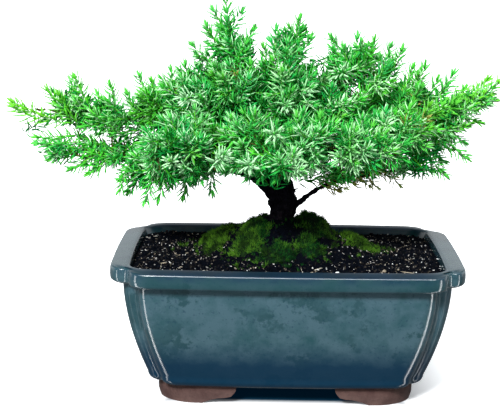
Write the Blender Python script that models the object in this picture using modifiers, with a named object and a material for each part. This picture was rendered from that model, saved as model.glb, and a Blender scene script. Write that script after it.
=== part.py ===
"""A juniper bonsai in a glazed stoneware pot, as separate closed solids.

The pot is one fired piece: a bowed rectangle in plan with a notch stepped into each corner, an overhanging
rim and four bracket feet. Drain screens with wire staples lie over its two drain holes, the soil is heaped
towards the middle, and the trunk stands in a pocket in that heap with moss round it. The trunk carries the
limbs, and each limb carries tufts of foliage. A tuft is an ellipsoid that stands for the room its needles
take; tufts that would run into each other are parted by a plane, and the wood bores through the tufts that
it feeds.

Lengths are in metres, +Z is up, and the front of the pot faces -Y. Every place below is measured from the
middle of the pot's footprint, and the tree's heights from the top of the heap of soil, so that a taller pot
or heap carries the tree up with it. At the end the whole object is set with its bounding box centred on the
origin.
"""

import math

import bmesh
import bpy
from mathutils import Matrix, Vector

# ---------------------------------------------------------------- driving dimensions
POT_WIDTH = 0.2032  # across the rim, before the bow of the sides
POT_DEPTH = 0.146
POT_HEIGHT = 0.084
BOW_X = 0.0015  # how far each end wall bulges at its middle
BOW_Y = 0.003  # how far the front and back walls bulge
NOTCH_X = 0.012  # the notch that each corner of the rim is stepped in by
NOTCH_Y = 0.014
NECK_NOTCH = 0.78  # the same notch at the neck and at the foot of the body, as shares of the rim's
BASE_NOTCH = 0.68
NOTCH_HOLLOW = 0.4  # shares of the notch that its hollow and each of its shoulders round off
NOTCH_SHOULDER = 0.9
INSIDE_CORNER = 0.012  # radius of the opening's corners
BODY_CORNER = 0.022  # radius of the corners inside the body

RIM_WIDTH = 0.0115
RIM_BAND = 0.0070  # height of the rim's upright outer face
RIM_UNDERCUT = 0.0042  # height over which the rim's underside curls in to the neck
RIM_OVERHANG = 0.0072
RIM_EDGE = 0.0018  # rounding of the rim's two top edges
WALL = 0.0055
FLOOR = 0.006
BODY_TAPER = 0.0135  # how much further in the body's foot is than its neck
TAPER_POWER = 1.7
BASE_ROUND = 0.0055
# (extra inset, height over the floor) where the inside wall meets the floor
INSIDE_FOOT = ((0.0050, 0.0), (0.0015, 0.0018))

FOOT_HEIGHT = 0.0108
FOOT_SETBACK = 0.0004  # the feet stand this far inside the rounded base
FOOT_THICKNESS = 0.010
FOOT_SPLAY = 0.001  # how much further in a foot's sole is than its top
FOOT_ROOT = 0.002  # how far a foot runs up into the floor
FOOT_CORNER = 0.020  # radius of a foot's outer corner in plan
FRONT_FOOT_GAP = 0.029  # half the opening between the feet, at its top
SIDE_FOOT_GAP = 0.012
ARCH_PROFILE = (  # (distance out from that opening's edge, share of the foot's height), from the ground up
    (0.0200, 0.00),
    (0.0155, 0.18),
    (0.0110, 0.30),
    (0.0065, 0.34),
    (0.0030, 0.42),
    (0.0010, 0.62),
    (0.0000, 0.80),
)

DRAIN_RADIUS = 0.006
DRAIN_SPACING = 0.076
SCREEN_SIDE = 0.022
SCREEN_CELLS = 4
SCREEN_BAR = 0.0014
SCREEN_THICKNESS = 0.0008
STAPLE_WIRE = 0.0006  # radius
STAPLE_BEND = 0.0014
STAPLE_TAIL = 0.010  # length of each tail bent out under the floor

GAP = 0.0003  # clearance between pieces that touch in the real object
SOIL_GAP = 1.4 * GAP  # the same at the pot's curved wall, where facets eat into it
CUT_OVERRUN = 0.004  # how far a cutter reaches past what it cuts
SOIL_DROP = 0.0045  # how far the soil lies below the rim at the wall
MOUND_RISE = 0.0230
MOUND_X = 0.040  # spread of the heap
MOUND_Y = 0.032
MOUND_FLATNESS = 1.3  # 1 gives a bell, more gives a flatter top and a steeper bank
# distances out from the trunk at which the soil's surface has points, as shares of the wall's distance
SOIL_RINGS = (0.86, 0.72, 0.58, 0.45, 0.33, 0.22, 0.12)
MOSS_SUNK = 0.6  # how far a cushion's middle lies under the soil's face, as a share of its thickness

TUFT_PARTING = 0.0006  # width of the cut between two tufts that would touch
LIMB_NEAR = 0.022  # limbs whose routes pass within this are cut clear of each other

# ---------------------------------------------------------------- places
TRUNK = [  # (x, y, z, radius), with every height of the tree from the top of the heap of soil
    (-0.0030, 0.000, -0.0191, 0.0105),
    (-0.0030, 0.000, -0.0081, 0.0080),
    (-0.0035, 0.000, 0.0009, 0.0057),
    (-0.0025, 0.001, 0.0069, 0.0068),
    (-0.0035, 0.001, 0.0129, 0.0076),
    (-0.0060, 0.001, 0.0199, 0.0074),
    (-0.0110, 0.002, 0.0319, 0.0054),
    (-0.0180, 0.003, 0.0479, 0.0040),
    (-0.0280, 0.004, 0.0669, 0.0030),
    (-0.0360, 0.004, 0.0889, 0.0020),
    (-0.0390, 0.004, 0.1089, 0.0012),
]
TRUNK_FOOT = Vector(TRUNK[0][:2])
ROOT_TURNS = (29, 118, 148, 265, 312)  # directions of the surface roots, in degrees from +X
ROOT_PROFILE = (  # shares of a root's reach, drop and radius, from the trunk outwards
    (0.00, 0.00, 1.00),
    (0.45, 0.22, 0.85),
    (0.75, 0.55, 0.65),
    (1.00, 1.00, 0.35),
)
ROOT_REACH = 0.027
ROOT_RADIUS = 0.0042
ROOT_TOP = -0.0041  # height at which the roots leave the trunk
ROOT_END = -0.0205  # height at which their ends lie in the soil

LIMBS = {  # each a route of (x, y, z, radius), from inside the trunk outwards
    "limb_left_low": [
        (-0.0040, 0.000, 0.0089, 0.0050),
        (-0.0125, -0.002, 0.0194, 0.0047),
        (-0.0220, -0.005, 0.0274, 0.0041),
        (-0.040, -0.009, 0.0319, 0.0033),
        (-0.064, -0.010, 0.0339, 0.0026),
        (-0.095, -0.008, 0.0349, 0.0020),
        (-0.122, -0.008, 0.0369, 0.0014),
        (-0.138, -0.008, 0.0399, 0.0010),
    ],
    "limb_left_high": [
        (-0.010, 0.002, 0.0309, 0.0040),
        (-0.028, 0.006, 0.0439, 0.0034),
        (-0.055, 0.006, 0.0529, 0.0027),
        (-0.085, 0.004, 0.0579, 0.0020),
        (-0.112, 0.002, 0.0589, 0.0015),
        (-0.132, 0.001, 0.0609, 0.0011),
        (-0.146, 0.001, 0.0639, 0.0009),
    ],
    "limb_right_low": [
        (-0.001, 0.000, 0.0039, 0.0030),
        (0.0070, -0.001, 0.0094, 0.0021),
        (0.0140, -0.001, 0.0154, 0.0017),
        (0.0225, 0.000, 0.0199, 0.0015),
        (0.034, 0.001, 0.0244, 0.0014),
        (0.052, -0.002, 0.0279, 0.0013),
        (0.068, -0.010, 0.0319, 0.0011),
        (0.080, -0.015, 0.0349, 0.0009),
    ],
    "limb_right_high": [
        (-0.007, 0.001, 0.0229, 0.0044),
        (0.010, 0.001, 0.0349, 0.0036),
        (0.032, 0.000, 0.0469, 0.0029),
        (0.058, -0.003, 0.0559, 0.0022),
        (0.084, -0.002, 0.0629, 0.0016),
        (0.104, 0.000, 0.0689, 0.0012),
        (0.116, 0.000, 0.0719, 0.0009),
    ],
    "limb_crest": [
        (-0.015, 0.003, 0.0429, 0.0030),
        (-0.007, 0.008, 0.0569, 0.0024),
        (-0.001, 0.010, 0.0749, 0.0019),
        (0.001, 0.009, 0.0929, 0.0013),
        (0.002, 0.008, 0.1049, 0.0009),
    ],
    "limb_shoulder": [
        (-0.008, 0.005, 0.0269, 0.0032),
        (0.008, 0.012, 0.0469, 0.0027),
        (0.024, 0.015, 0.0649, 0.0021),
        (0.036, 0.012, 0.0809, 0.0015),
        (0.044, 0.010, 0.0909, 0.0010),
    ],
    "limb_front": [
        (-0.005, -0.001, 0.0199, 0.0036),
        (-0.008, -0.016, 0.0289, 0.0029),
        (-0.008, -0.036, 0.0369, 0.0023),
        (-0.005, -0.056, 0.0409, 0.0016),
        (-0.004, -0.072, 0.0399, 0.0010),
    ],
    "limb_front_left": [
        (-0.008, -0.001, 0.0269, 0.0032),
        (-0.024, -0.018, 0.0409, 0.0026),
        (-0.044, -0.034, 0.0489, 0.0020),
        (-0.064, -0.048, 0.0509, 0.0013),
        (-0.076, -0.055, 0.0509, 0.0009),
    ],
    "limb_front_right": [
        (-0.006, -0.001, 0.0249, 0.0030),
        (0.010, -0.018, 0.0399, 0.0024),
        (0.030, -0.034, 0.0469, 0.0018),
        (0.048, -0.046, 0.0489, 0.0012),
        (0.058, -0.052, 0.0489, 0.0009),
    ],
    "limb_rear": [
        (-0.006, 0.004, 0.0219, 0.0038),
        (-0.008, 0.022, 0.0349, 0.0031),
        (-0.010, 0.044, 0.0469, 0.0023),
        (-0.008, 0.064, 0.0509, 0.0016),
        (-0.006, 0.082, 0.0499, 0.0010),
    ],
    "limb_rear_left": [
        (-0.010, 0.005, 0.0349, 0.0030),
        (-0.026, 0.022, 0.0499, 0.0024),
        (-0.048, 0.038, 0.0569, 0.0017),
        (-0.070, 0.048, 0.0579, 0.0011),
        (-0.080, 0.050, 0.0579, 0.0009),
    ],
    "limb_rear_right": [
        (-0.006, 0.006, 0.0269, 0.0030),
        (0.014, 0.026, 0.0449, 0.0024),
        (0.038, 0.040, 0.0539, 0.0018),
        (0.062, 0.046, 0.0569, 0.0012),
        (0.074, 0.048, 0.0569, 0.0009),
    ],
}

TUFTS = {  # (x, y, z), (half sizes), lean in degrees: turned about Y so that +X rises
    "foliage_apex_tip": ((-0.037, 0.005, 0.1039), (0.014, 0.014, 0.024), 0),
    "foliage_apex": ((-0.038, 0.002, 0.0839), (0.023, 0.024, 0.020), 0),
    "foliage_crest_tip": ((0.001, 0.008, 0.1009), (0.014, 0.015, 0.017), 0),
    "foliage_crest": ((0.000, 0.002, 0.0779), (0.021, 0.024, 0.020), 0),
    "foliage_shoulder": ((0.038, 0.012, 0.0939), (0.018, 0.020, 0.015), 0),
    "foliage_shoulder_end": ((0.061, 0.004, 0.0889), (0.015, 0.018, 0.014), 0),
    "foliage_shoulder_low": ((0.036, 0.004, 0.0689), (0.022, 0.022, 0.016), 0),
    "foliage_right_upper": ((0.079, 0.006, 0.0739), (0.017, 0.020, 0.016), 0),
    "foliage_right_outer": ((0.098, -0.004, 0.0639), (0.014, 0.017, 0.019), 0),
    "foliage_right_tip": ((0.113, 0.000, 0.0749), (0.016, 0.012, 0.010), 30),
    "foliage_right_front": ((0.066, -0.026, 0.0589), (0.023, 0.020, 0.016), 0),
    "foliage_right_low": ((0.076, -0.018, 0.0379), (0.023, 0.021, 0.013), 6),
    "foliage_right_under": ((0.042, 0.002, 0.0299), (0.018, 0.013, 0.007), 12),
    "foliage_front_right": ((0.042, -0.044, 0.0509), (0.021, 0.021, 0.016), 0),
    "foliage_centre_right": ((0.012, -0.034, 0.0499), (0.021, 0.021, 0.019), 0),
    "foliage_front": ((-0.008, -0.066, 0.0419), (0.022, 0.016, 0.013), 0),
    "foliage_centre_left": ((-0.026, -0.034, 0.0499), (0.021, 0.022, 0.019), 0),
    "foliage_front_left": ((-0.064, -0.048, 0.0499), (0.022, 0.020, 0.017), 0),
    "foliage_left_inner": ((-0.060, -0.004, 0.0739), (0.022, 0.023, 0.021), 0),
    "foliage_left_inner_low": ((-0.052, -0.016, 0.0379), (0.022, 0.021, 0.017), 0),
    "foliage_left_crest": ((-0.086, 0.006, 0.0679), (0.018, 0.020, 0.017), 0),
    "foliage_left_under": ((-0.080, -0.008, 0.0299), (0.023, 0.021, 0.018), 0),
    "foliage_left_middle": ((-0.107, -0.002, 0.0609), (0.016, 0.018, 0.018), 0),
    "foliage_left_low": ((-0.110, 0.002, 0.0389), (0.020, 0.018, 0.013), -6),
    "foliage_left_outer": ((-0.130, 0.003, 0.0689), (0.016, 0.016, 0.015), 0),
    "foliage_left_tip": ((-0.149, 0.001, 0.0639), (0.016, 0.010, 0.008), -24),
    "foliage_left_low_tip": ((-0.134, -0.008, 0.0389), (0.019, 0.012, 0.009), -15),
    "foliage_rear_left": ((-0.068, 0.046, 0.0609), (0.024, 0.024, 0.019), 0),
    "foliage_rear_centre_left": ((-0.028, 0.046, 0.0679), (0.023, 0.024, 0.022), 0),
    "foliage_rear_centre_right": ((0.014, 0.046, 0.0669), (0.023, 0.024, 0.021), 0),
    "foliage_rear_right": ((0.058, 0.044, 0.0619), (0.024, 0.024, 0.018), 0),
    "foliage_rear": ((-0.006, 0.078, 0.0509), (0.024, 0.016, 0.017), 0),
}

MOSS = {  # (x, y), (half length in x, half length in y, thickness), turn about Z in degrees
    "moss_left": ((-0.041, 0.008), (0.014, 0.012, 0.0065), 10),
    "moss_left_front": ((-0.043, -0.012), (0.008, 0.007, 0.0045), 0),
    "moss_slope_left": ((-0.022, -0.018), (0.010, 0.017, 0.0060), -28),
    "moss_front": ((-0.006, -0.034), (0.012, 0.008, 0.0050), 4),
    "moss_front_right": ((0.013, -0.026), (0.008, 0.010, 0.0050), 25),
    "moss_slope_right": ((0.017, -0.003), (0.013, 0.015, 0.0070), 15),
    "moss_right": ((0.044, 0.006), (0.015, 0.011, 0.0065), -10),
    "moss_rear": ((-0.012, 0.024), (0.018, 0.010, 0.0065), 10),
}

OBJECT_NAME = "juniper_bonsai"
ARC_STEPS = 4  # facets in each of a corner's three arcs
SIDE_STEPS = 4  # stretches that each straight side is divided into
BODY_STEPS = 5  # stretches that the body's height is divided into
ROUTE_STEPS = 2  # stretches between each two given points of a trunk or limb
WIRE_ROUNDNESS = 2  # more gives a tube more sides
TRUNK_ROUNDNESS = 3
MERGE_DISTANCE = 1e-6
SHARP_ANGLE = 40.0  # degrees between faces from which an edge is shaded sharp
WOOD_SHARP_ANGLE = 60.0
FINISHES = {  # (colour, roughness, metallic)
    "glaze": ((0.060, 0.110, 0.135), 0.22, 0.0),
    "soil": ((0.030, 0.024, 0.022), 0.95, 0.0),
    "moss": ((0.090, 0.200, 0.030), 0.90, 0.0),
    "bark": ((0.045, 0.032, 0.028), 0.85, 0.0),
    "needles": ((0.100, 0.380, 0.130), 0.60, 0.0),
    "screen": ((0.020, 0.020, 0.022), 0.50, 0.0),
    "wire": ((0.480, 0.470, 0.450), 0.35, 1.0),
}


# ---------------------------------------------------------------- scene, collections, materials
def clear_scene():
    """Removes what the startup file holds."""
    for obj in list(bpy.data.objects):
        bpy.data.objects.remove(obj)


def new_collection(name):
    """A collection in the scene with that name."""
    made = bpy.data.collections.new(name)
    bpy.context.scene.collection.children.link(made)
    return made


def material(name):
    """The plain material of one finish, made the first time that it is asked for."""
    found = bpy.data.materials.get(name)
    if found:
        return found
    colour, roughness, metallic = FINISHES[name]
    made = bpy.data.materials.new(name)
    made.use_nodes = True
    shader = made.node_tree.nodes["Principled BSDF"]
    shader.inputs["Base Color"].default_value = (*colour, 1.0)
    shader.inputs["Roughness"].default_value = roughness
    shader.inputs["Metallic"].default_value = metallic
    return made


def add_object(name, data, finish=None):
    """A part in the object's collection, or a hidden cutter where it has no finish."""
    obj = bpy.data.objects.new(name, data)
    if finish:
        bpy.data.collections[OBJECT_NAME].objects.link(obj)
        data.materials.append(material(finish))
    else:
        bpy.data.collections["cutters"].objects.link(obj)
        obj.hide_render = True
        obj.display_type = "WIRE"
    return obj


def object_from_bmesh(name, shape, finish=None):
    """An object that takes the bmesh's shape, with its faces pointing out."""
    bmesh.ops.recalc_face_normals(shape, faces=shape.faces)
    mesh = bpy.data.meshes.new(name)
    shape.to_mesh(mesh)
    shape.free()
    return add_object(name, mesh, finish)


def boolean(obj, other, operation="DIFFERENCE"):
    """Adds an exact Boolean of the other object."""
    modifier = obj.modifiers.new(f"{operation.lower()}_{other.name}", "BOOLEAN")
    modifier.operation = operation
    modifier.object = other
    modifier.solver = "EXACT"


def smooth(obj, angle=SHARP_ANGLE):
    """Shades a round piece smooth, apart from its sharp edges."""
    obj.data.shade_smooth()
    obj.data.set_sharp_from_angle(angle=math.radians(angle))


# ---------------------------------------------------------------- the pot's outline and profile
def arc(centre_x, centre_y, radius_x, radius_y, start, end, steps):
    """Points along an elliptical arc between two angles in degrees, both ends included."""
    turns = [math.radians(start + (end - start) * k / steps) for k in range(steps + 1)]
    return [(centre_x + radius_x * math.cos(t), centre_y + radius_y * math.sin(t)) for t in turns]


def plain_corner(half_x, half_y, radius):
    """The outline's corner at +X +Y, rounded by one radius."""
    return arc(half_x - radius, half_y - radius, radius, radius, 0, 90, 3 * ARC_STEPS)


def notched_corner(half_x, half_y, share):
    """The corner at +X +Y stepped in by the notch: a round shoulder, a hollow, and another round shoulder."""
    step_x, step_y = NOTCH_X * share, NOTCH_Y * share
    in_x, in_y = half_x - step_x, half_y - step_y
    hollow_x, hollow_y = NOTCH_HOLLOW * step_x, NOTCH_HOLLOW * step_y
    side_x, side_y = step_x - hollow_x, NOTCH_SHOULDER * step_y
    front_x, front_y = NOTCH_SHOULDER * step_x, step_y - hollow_y
    side = arc(half_x - side_x, in_y - side_y, side_x, side_y, 0, 90, ARC_STEPS)
    hollow = arc(in_x + hollow_x, in_y + hollow_y, hollow_x, hollow_y, -90, -180, ARC_STEPS)
    front = arc(in_x - front_x, half_y - front_y, front_x, front_y, 0, 90, ARC_STEPS)
    return side + hollow[1:] + front[1:]


def outline(inset, notch=0.0, radius=0.0):
    """The pot's plan outline that far inside the rim's edge, as points running anticlockwise."""
    half_x, half_y = POT_WIDTH / 2 - inset, POT_DEPTH / 2 - inset
    if notch:
        corner = notched_corner(half_x, half_y, notch)
    else:
        corner = plain_corner(half_x, half_y, radius)
    mirrored = [(-x, y) for x, y in reversed(corner)]
    points = []
    for run in (corner, mirrored, [(-x, -y) for x, y in corner], [(-x, -y) for x, y in mirrored]):
        if points:
            points += between(points[-1], run[0])
        points += run
    points += between(points[-1], points[0])
    return [bowed(x, y, half_x, half_y) for x, y in points]


def between(start, end):
    """The points that divide a straight side, without its ends."""
    steps = [k / SIDE_STEPS for k in range(1, SIDE_STEPS)]
    return [(start[0] + (end[0] - start[0]) * t, start[1] + (end[1] - start[1]) * t) for t in steps]


def bowed(x, y, half_x, half_y):
    """Bulges the straight sides outwards, most at their middles."""
    return (
        x * (1 + BOW_X / half_x * (1 - (y / half_y) ** 2)),
        y * (1 + BOW_Y / half_y * (1 - (x / half_x) ** 2)),
    )


NECK_Z = POT_HEIGHT - RIM_BAND - RIM_UNDERCUT
HEAP_TOP = POT_HEIGHT - SOIL_DROP + MOUND_RISE
SHOULDER_Z = FOOT_HEIGHT + BASE_ROUND  # where the body's side meets its rounded base
FLOOR_Z = FOOT_HEIGHT + FLOOR


def side_inset(z):
    """How far the body's outer face lies inside the rim's edge at that height."""
    down = min(max((NECK_Z - z) / (NECK_Z - SHOULDER_Z), 0.0), 1.0)
    return RIM_OVERHANG + BODY_TAPER * down**TAPER_POWER


def outer_levels():
    """(inset, z, notch) of the pot's outer face, from its underside up to the rim."""
    base = RIM_OVERHANG + BODY_TAPER
    levels = []
    for degrees in (90, 60, 30):
        turn = math.radians(degrees)
        drop = BASE_ROUND * math.sin(turn)
        levels.append((base + BASE_ROUND * (1 - math.cos(turn)), SHOULDER_Z - drop, BASE_NOTCH))
    for k in range(BODY_STEPS + 1):
        share = k / BODY_STEPS
        z = SHOULDER_Z + (NECK_Z - SHOULDER_Z) * share
        levels.append((side_inset(z), z, BASE_NOTCH + (NECK_NOTCH - BASE_NOTCH) * share))
    for degrees in (55, 20, 0):
        turn = math.radians(degrees)
        inset = RIM_OVERHANG * (1 - math.cos(turn))
        share = 1.0 - (1.0 - NECK_NOTCH) * inset / RIM_OVERHANG
        levels.append((inset, NECK_Z + RIM_UNDERCUT * (1 - math.sin(turn)), share))
    for degrees in (0, 45, 90):
        turn = math.radians(degrees)
        inset = RIM_EDGE * (1 - math.cos(turn))
        levels.append((inset, POT_HEIGHT - RIM_EDGE * (1 - math.sin(turn)), 1.0))
    return levels


def inner_levels(gap=0.0, top=None):
    """(inset, z, corner radius) of the pot's inner face from the floor up.

    The soil uses the same levels, drawn in by a gap and ended at its own top.
    """
    foot_z = FLOOR_Z + BASE_ROUND
    heights = [foot_z + (NECK_Z - foot_z) * k / 3 for k in range(4)]
    floor_inset = side_inset(foot_z) + WALL
    levels = [(floor_inset + extra, FLOOR_Z + rise, BODY_CORNER) for extra, rise in INSIDE_FOOT]
    levels += [(side_inset(z) + WALL, z, BODY_CORNER) for z in heights]
    if top is None:
        levels.append((RIM_WIDTH, POT_HEIGHT - RIM_EDGE, INSIDE_CORNER))
    else:
        share = (top - NECK_Z) / (POT_HEIGHT - RIM_EDGE - NECK_Z)
        inset = levels[-1][0] + (RIM_WIDTH - levels[-1][0]) * share
        levels.append((inset, top, BODY_CORNER + (INSIDE_CORNER - BODY_CORNER) * share))
    return [(inset + gap, z, radius) for inset, z, radius in levels]


def add_ring(shape, points, z):
    """A ring of vertices at one height; z may be a number or a function of x and y."""
    height = z if callable(z) else (lambda x, y: z)
    return [shape.verts.new((x, y, height(x, y))) for x, y in points]


def skin(shape, rings):
    """Faces between each two neighbouring rings of the same count."""
    for low, high in zip(rings, rings[1:]):
        count = len(low)
        for k in range(count):
            n = (k + 1) % count
            shape.faces.new((low[k], low[n], high[n], high[k]))


def build_pot():
    """The fired pot: body, rim and feet in one solid, with its drain holes."""
    shape = bmesh.new()
    rings = [add_ring(shape, outline(inset, notch), z) for inset, z, notch in outer_levels()]
    rings.append(add_ring(shape, outline(RIM_WIDTH - RIM_EDGE, radius=INSIDE_CORNER), POT_HEIGHT))
    inside = reversed(inner_levels())
    rings += [add_ring(shape, outline(inset, radius=radius), z) for inset, z, radius in inside]
    skin(shape, rings)
    shape.faces.new(rings[0])
    shape.faces.new(rings[-1])
    pot = object_from_bmesh("pot", shape, "glaze")
    boolean(pot, build_feet(), "UNION")
    for side in (-1, 1):
        boolean(pot, cylinder_cutter(f"drain_{side}", side * DRAIN_SPACING / 2))
    smooth(pot)


def cylinder_cutter(name, x):
    """A round cutter through the pot's floor."""
    shape = bmesh.new()
    height = FLOOR + 2 * CUT_OVERRUN
    bmesh.ops.create_cone(
        shape, cap_ends=True, segments=16, radius1=DRAIN_RADIUS, radius2=DRAIN_RADIUS, depth=height
    )
    bmesh.ops.translate(shape, verts=shape.verts, vec=(x, 0, FOOT_HEIGHT + FLOOR / 2))
    return object_from_bmesh(name, shape)


def build_feet():
    """A skirt under the body with an arched opening cut through each side, which leaves four bracket feet."""
    inset = RIM_OVERHANG + BODY_TAPER + BASE_ROUND + FOOT_SETBACK
    top = FOOT_HEIGHT + FOOT_ROOT
    outer = [(inset + FOOT_SPLAY, 0.0), (inset + 0.25 * FOOT_SPLAY, FOOT_HEIGHT * 0.35), (inset, top)]
    inner = [(inset + FOOT_THICKNESS, top), (inset + FOOT_THICKNESS, 0.0)]
    shape = bmesh.new()
    rings = [add_ring(shape, outline(i, radius=FOOT_CORNER), z) for i, z in outer]
    rings += [add_ring(shape, outline(i, radius=FOOT_CORNER - FOOT_THICKNESS), z) for i, z in inner]
    skin(shape, rings + rings[:1])
    skirt = object_from_bmesh("foot_skirt", shape)
    boolean(skirt, arch_cutter("arch_front", FRONT_FOOT_GAP, POT_DEPTH, turned=False))
    boolean(skirt, arch_cutter("arch_side", SIDE_FOOT_GAP, POT_WIDTH, turned=True))
    return skirt


def arch_cutter(name, half_gap, length, turned):
    """The bracket-shaped opening between two feet, extruded along Y, or along X where it is turned."""
    right = [(half_gap + ARCH_PROFILE[0][0], -CUT_OVERRUN)]
    right += [(half_gap + out, FOOT_HEIGHT * share) for out, share in ARCH_PROFILE]
    right.append((half_gap, FOOT_HEIGHT + FOOT_ROOT + CUT_OVERRUN))
    outline_points = right + [(-x, z) for x, z in reversed(right)]
    shape = bmesh.new()
    near = [shape.verts.new((x, -length, z)) for x, z in outline_points]
    face = shape.faces.new(near)
    pushed = bmesh.ops.extrude_face_region(shape, geom=[face])["geom"]
    moved = [v for v in pushed if isinstance(v, bmesh.types.BMVert)]
    bmesh.ops.translate(shape, verts=moved, vec=(0, 2 * length, 0))
    if turned:
        bmesh.ops.rotate(shape, verts=shape.verts, matrix=Matrix.Rotation(math.pi / 2, 3, "Z"))
    return object_from_bmesh(name, shape)


# ---------------------------------------------------------------- drain screens and staples
def build_screen(name, x):
    """A square of plastic mesh over a drain hole."""
    shape = bmesh.new()
    cells, pitch = SCREEN_CELLS, SCREEN_SIDE / SCREEN_CELLS
    bmesh.ops.create_grid(shape, x_segments=cells, y_segments=cells, size=SCREEN_SIDE / 2)
    bmesh.ops.inset_individual(shape, faces=shape.faces[:], thickness=SCREEN_BAR / 2)
    holes = [f for f in shape.faces if f.calc_area() > (0.5 * pitch) ** 2]
    bmesh.ops.delete(shape, geom=holes, context="FACES")
    bmesh.ops.translate(shape, verts=shape.verts, vec=(x, 0, FLOOR_Z + GAP))
    screen = object_from_bmesh(name, shape, "screen")
    thick = screen.modifiers.new("thickness", "SOLIDIFY")
    thick.thickness = SCREEN_THICKNESS
    thick.offset = 1.0


def build_staple(name, x):
    """A bent wire that straddles the screen's middle bar and is bent out under the floor."""
    leg = SCREEN_SIDE / SCREEN_CELLS / 2
    top = FLOOR_Z + GAP + SCREEN_THICKNESS + GAP + STAPLE_WIRE
    low = FOOT_HEIGHT - GAP - STAPLE_WIRE
    cut = STAPLE_BEND * (1 - math.sqrt(0.5))
    right = [
        (leg - STAPLE_BEND, top),
        (leg - cut, top - cut),
        (leg, top - STAPLE_BEND),
        (leg, low + STAPLE_BEND),
        (leg + cut, low + cut),
        (leg + STAPLE_BEND, low),
        (leg + STAPLE_TAIL, low),
    ]
    route = [(-out, z) for out, z in reversed(right)] + right
    tube(name, [(x + out, leg, z, STAPLE_WIRE) for out, z in route], "wire")


# ---------------------------------------------------------------- soil and moss
def mound(x, y):
    """Height of the soil's surface."""
    across, along = (x - TRUNK_FOOT.x) / MOUND_X, (y - TRUNK_FOOT.y) / MOUND_Y
    away = (across * across + along * along) ** MOUND_FLATNESS
    return POT_HEIGHT - SOIL_DROP + MOUND_RISE * math.exp(-away)


def soil_mesh(name, lift, finish=None):
    """The soil as a closed solid, its top raised by a lift where it is used as a cutter."""
    edge = POT_HEIGHT - SOIL_DROP
    *walls, (rim_inset, _, rim_radius) = inner_levels(SOIL_GAP, top=edge)
    shape = bmesh.new()
    rings = [add_ring(shape, outline(inset, radius=radius), z + GAP) for inset, z, radius in walls]
    rim = outline(rim_inset, radius=rim_radius)
    rings.append(add_ring(shape, rim, edge + lift))
    for share in SOIL_RINGS:
        inward = [TRUNK_FOOT.lerp(Vector(point), share) for point in rim]
        rings.append(add_ring(shape, inward, lambda x, y: mound(x, y) + lift))
    skin(shape, rings)
    shape.faces.new(rings[0])
    shape.faces.new(rings[-1])
    bmesh.ops.triangulate(shape, faces=shape.faces)
    return object_from_bmesh(name, shape, finish)


def build_soil(trunk_room):
    """The potting mix, with a pocket for the trunk and one over each drain screen."""
    soil = soil_mesh("soil", 0.0, "soil")
    boolean(soil, trunk_room)
    for side in (-1, 1):
        shape = bmesh.new()
        bmesh.ops.create_cube(shape, size=1.0)
        depth = 2 * (GAP * 3 + SCREEN_THICKNESS + 2 * STAPLE_WIRE)
        room = (SCREEN_SIDE + 4 * GAP, SCREEN_SIDE + 4 * GAP, depth)
        bmesh.ops.scale(shape, verts=shape.verts, vec=room)
        bmesh.ops.translate(shape, verts=shape.verts, vec=(side * DRAIN_SPACING / 2, 0, FLOOR_Z))
        boolean(soil, object_from_bmesh(f"screen_room_{side}", shape))
    smooth(soil)


def build_moss(name, soil_lifted, trunk_room):
    """One cushion of moss on the heap: a flattened dome with the soil and the trunk taken out of it."""
    (x, y), (half_x, half_y, thickness), turn = MOSS[name]
    shape = bmesh.new()
    bmesh.ops.create_icosphere(shape, subdivisions=2, radius=1.0)
    half_z = thickness * (1 + MOSS_SUNK)
    bmesh.ops.scale(shape, verts=shape.verts, vec=(half_x, half_y, half_z))
    bmesh.ops.rotate(shape, verts=shape.verts, matrix=Matrix.Rotation(math.radians(turn), 3, "Z"))
    for vert in shape.verts:
        vert.co.z += mound(x + vert.co.x, y + vert.co.y) - thickness * MOSS_SUNK
        vert.co.x += x
        vert.co.y += y
    moss = object_from_bmesh(name, shape, "moss")
    boolean(moss, soil_lifted)
    boolean(moss, trunk_room)


# ---------------------------------------------------------------- trunk and limbs
def tube(name, points, finish=None, roundness=WIRE_ROUNDNESS):
    """A tapering round bar through (x, y, z, radius) points, as a mesh with closed ends."""
    curve = bpy.data.curves.new(name, "CURVE")
    curve.dimensions = "3D"
    curve.bevel_depth = 1.0
    curve.bevel_resolution = roundness
    curve.use_fill_caps = True
    spline = curve.splines.new("POLY")
    spline.points.add(len(points) - 1)
    for point, (x, y, z, radius) in zip(spline.points, points):
        point.co = (x, y, z, 1.0)
        point.radius = radius
    guide = bpy.data.objects.new(name, curve)
    bpy.context.scene.collection.objects.link(guide)
    bpy.context.view_layer.update()
    graph = bpy.context.evaluated_depsgraph_get()
    mesh = bpy.data.meshes.new_from_object(guide.evaluated_get(graph))
    bpy.data.objects.remove(guide)
    shape = bmesh.new()
    shape.from_mesh(mesh)
    bmesh.ops.remove_doubles(shape, verts=shape.verts, dist=MERGE_DISTANCE)
    return object_from_bmesh(name, shape, finish)


def smoothed(points):
    """A smooth route through points whose heights are given from the top of the heap."""
    rows = [Vector((x, y, z + HEAP_TOP, radius)) for x, y, z, radius in points]
    rows = [2 * rows[0] - rows[1], *rows, 2 * rows[-1] - rows[-2]]
    route = []
    for a, b, c, d in zip(rows, rows[1:], rows[2:], rows[3:]):
        for k in range(ROUTE_STEPS):
            t = k / ROUTE_STEPS
            first = (c - a) * t
            second = (2 * a - 5 * b + 4 * c - d) * t**2
            third = (3 * b - a - 3 * c + d) * t**3
            route.append(b + (first + second + third) / 2)
    return [tuple(row) for row in route + [rows[-2]]]


def grown(points, extra):
    """The same route with a larger radius, for the room that a piece takes in its neighbours."""
    return [(x, y, z, radius + extra) for x, y, z, radius in points]


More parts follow.
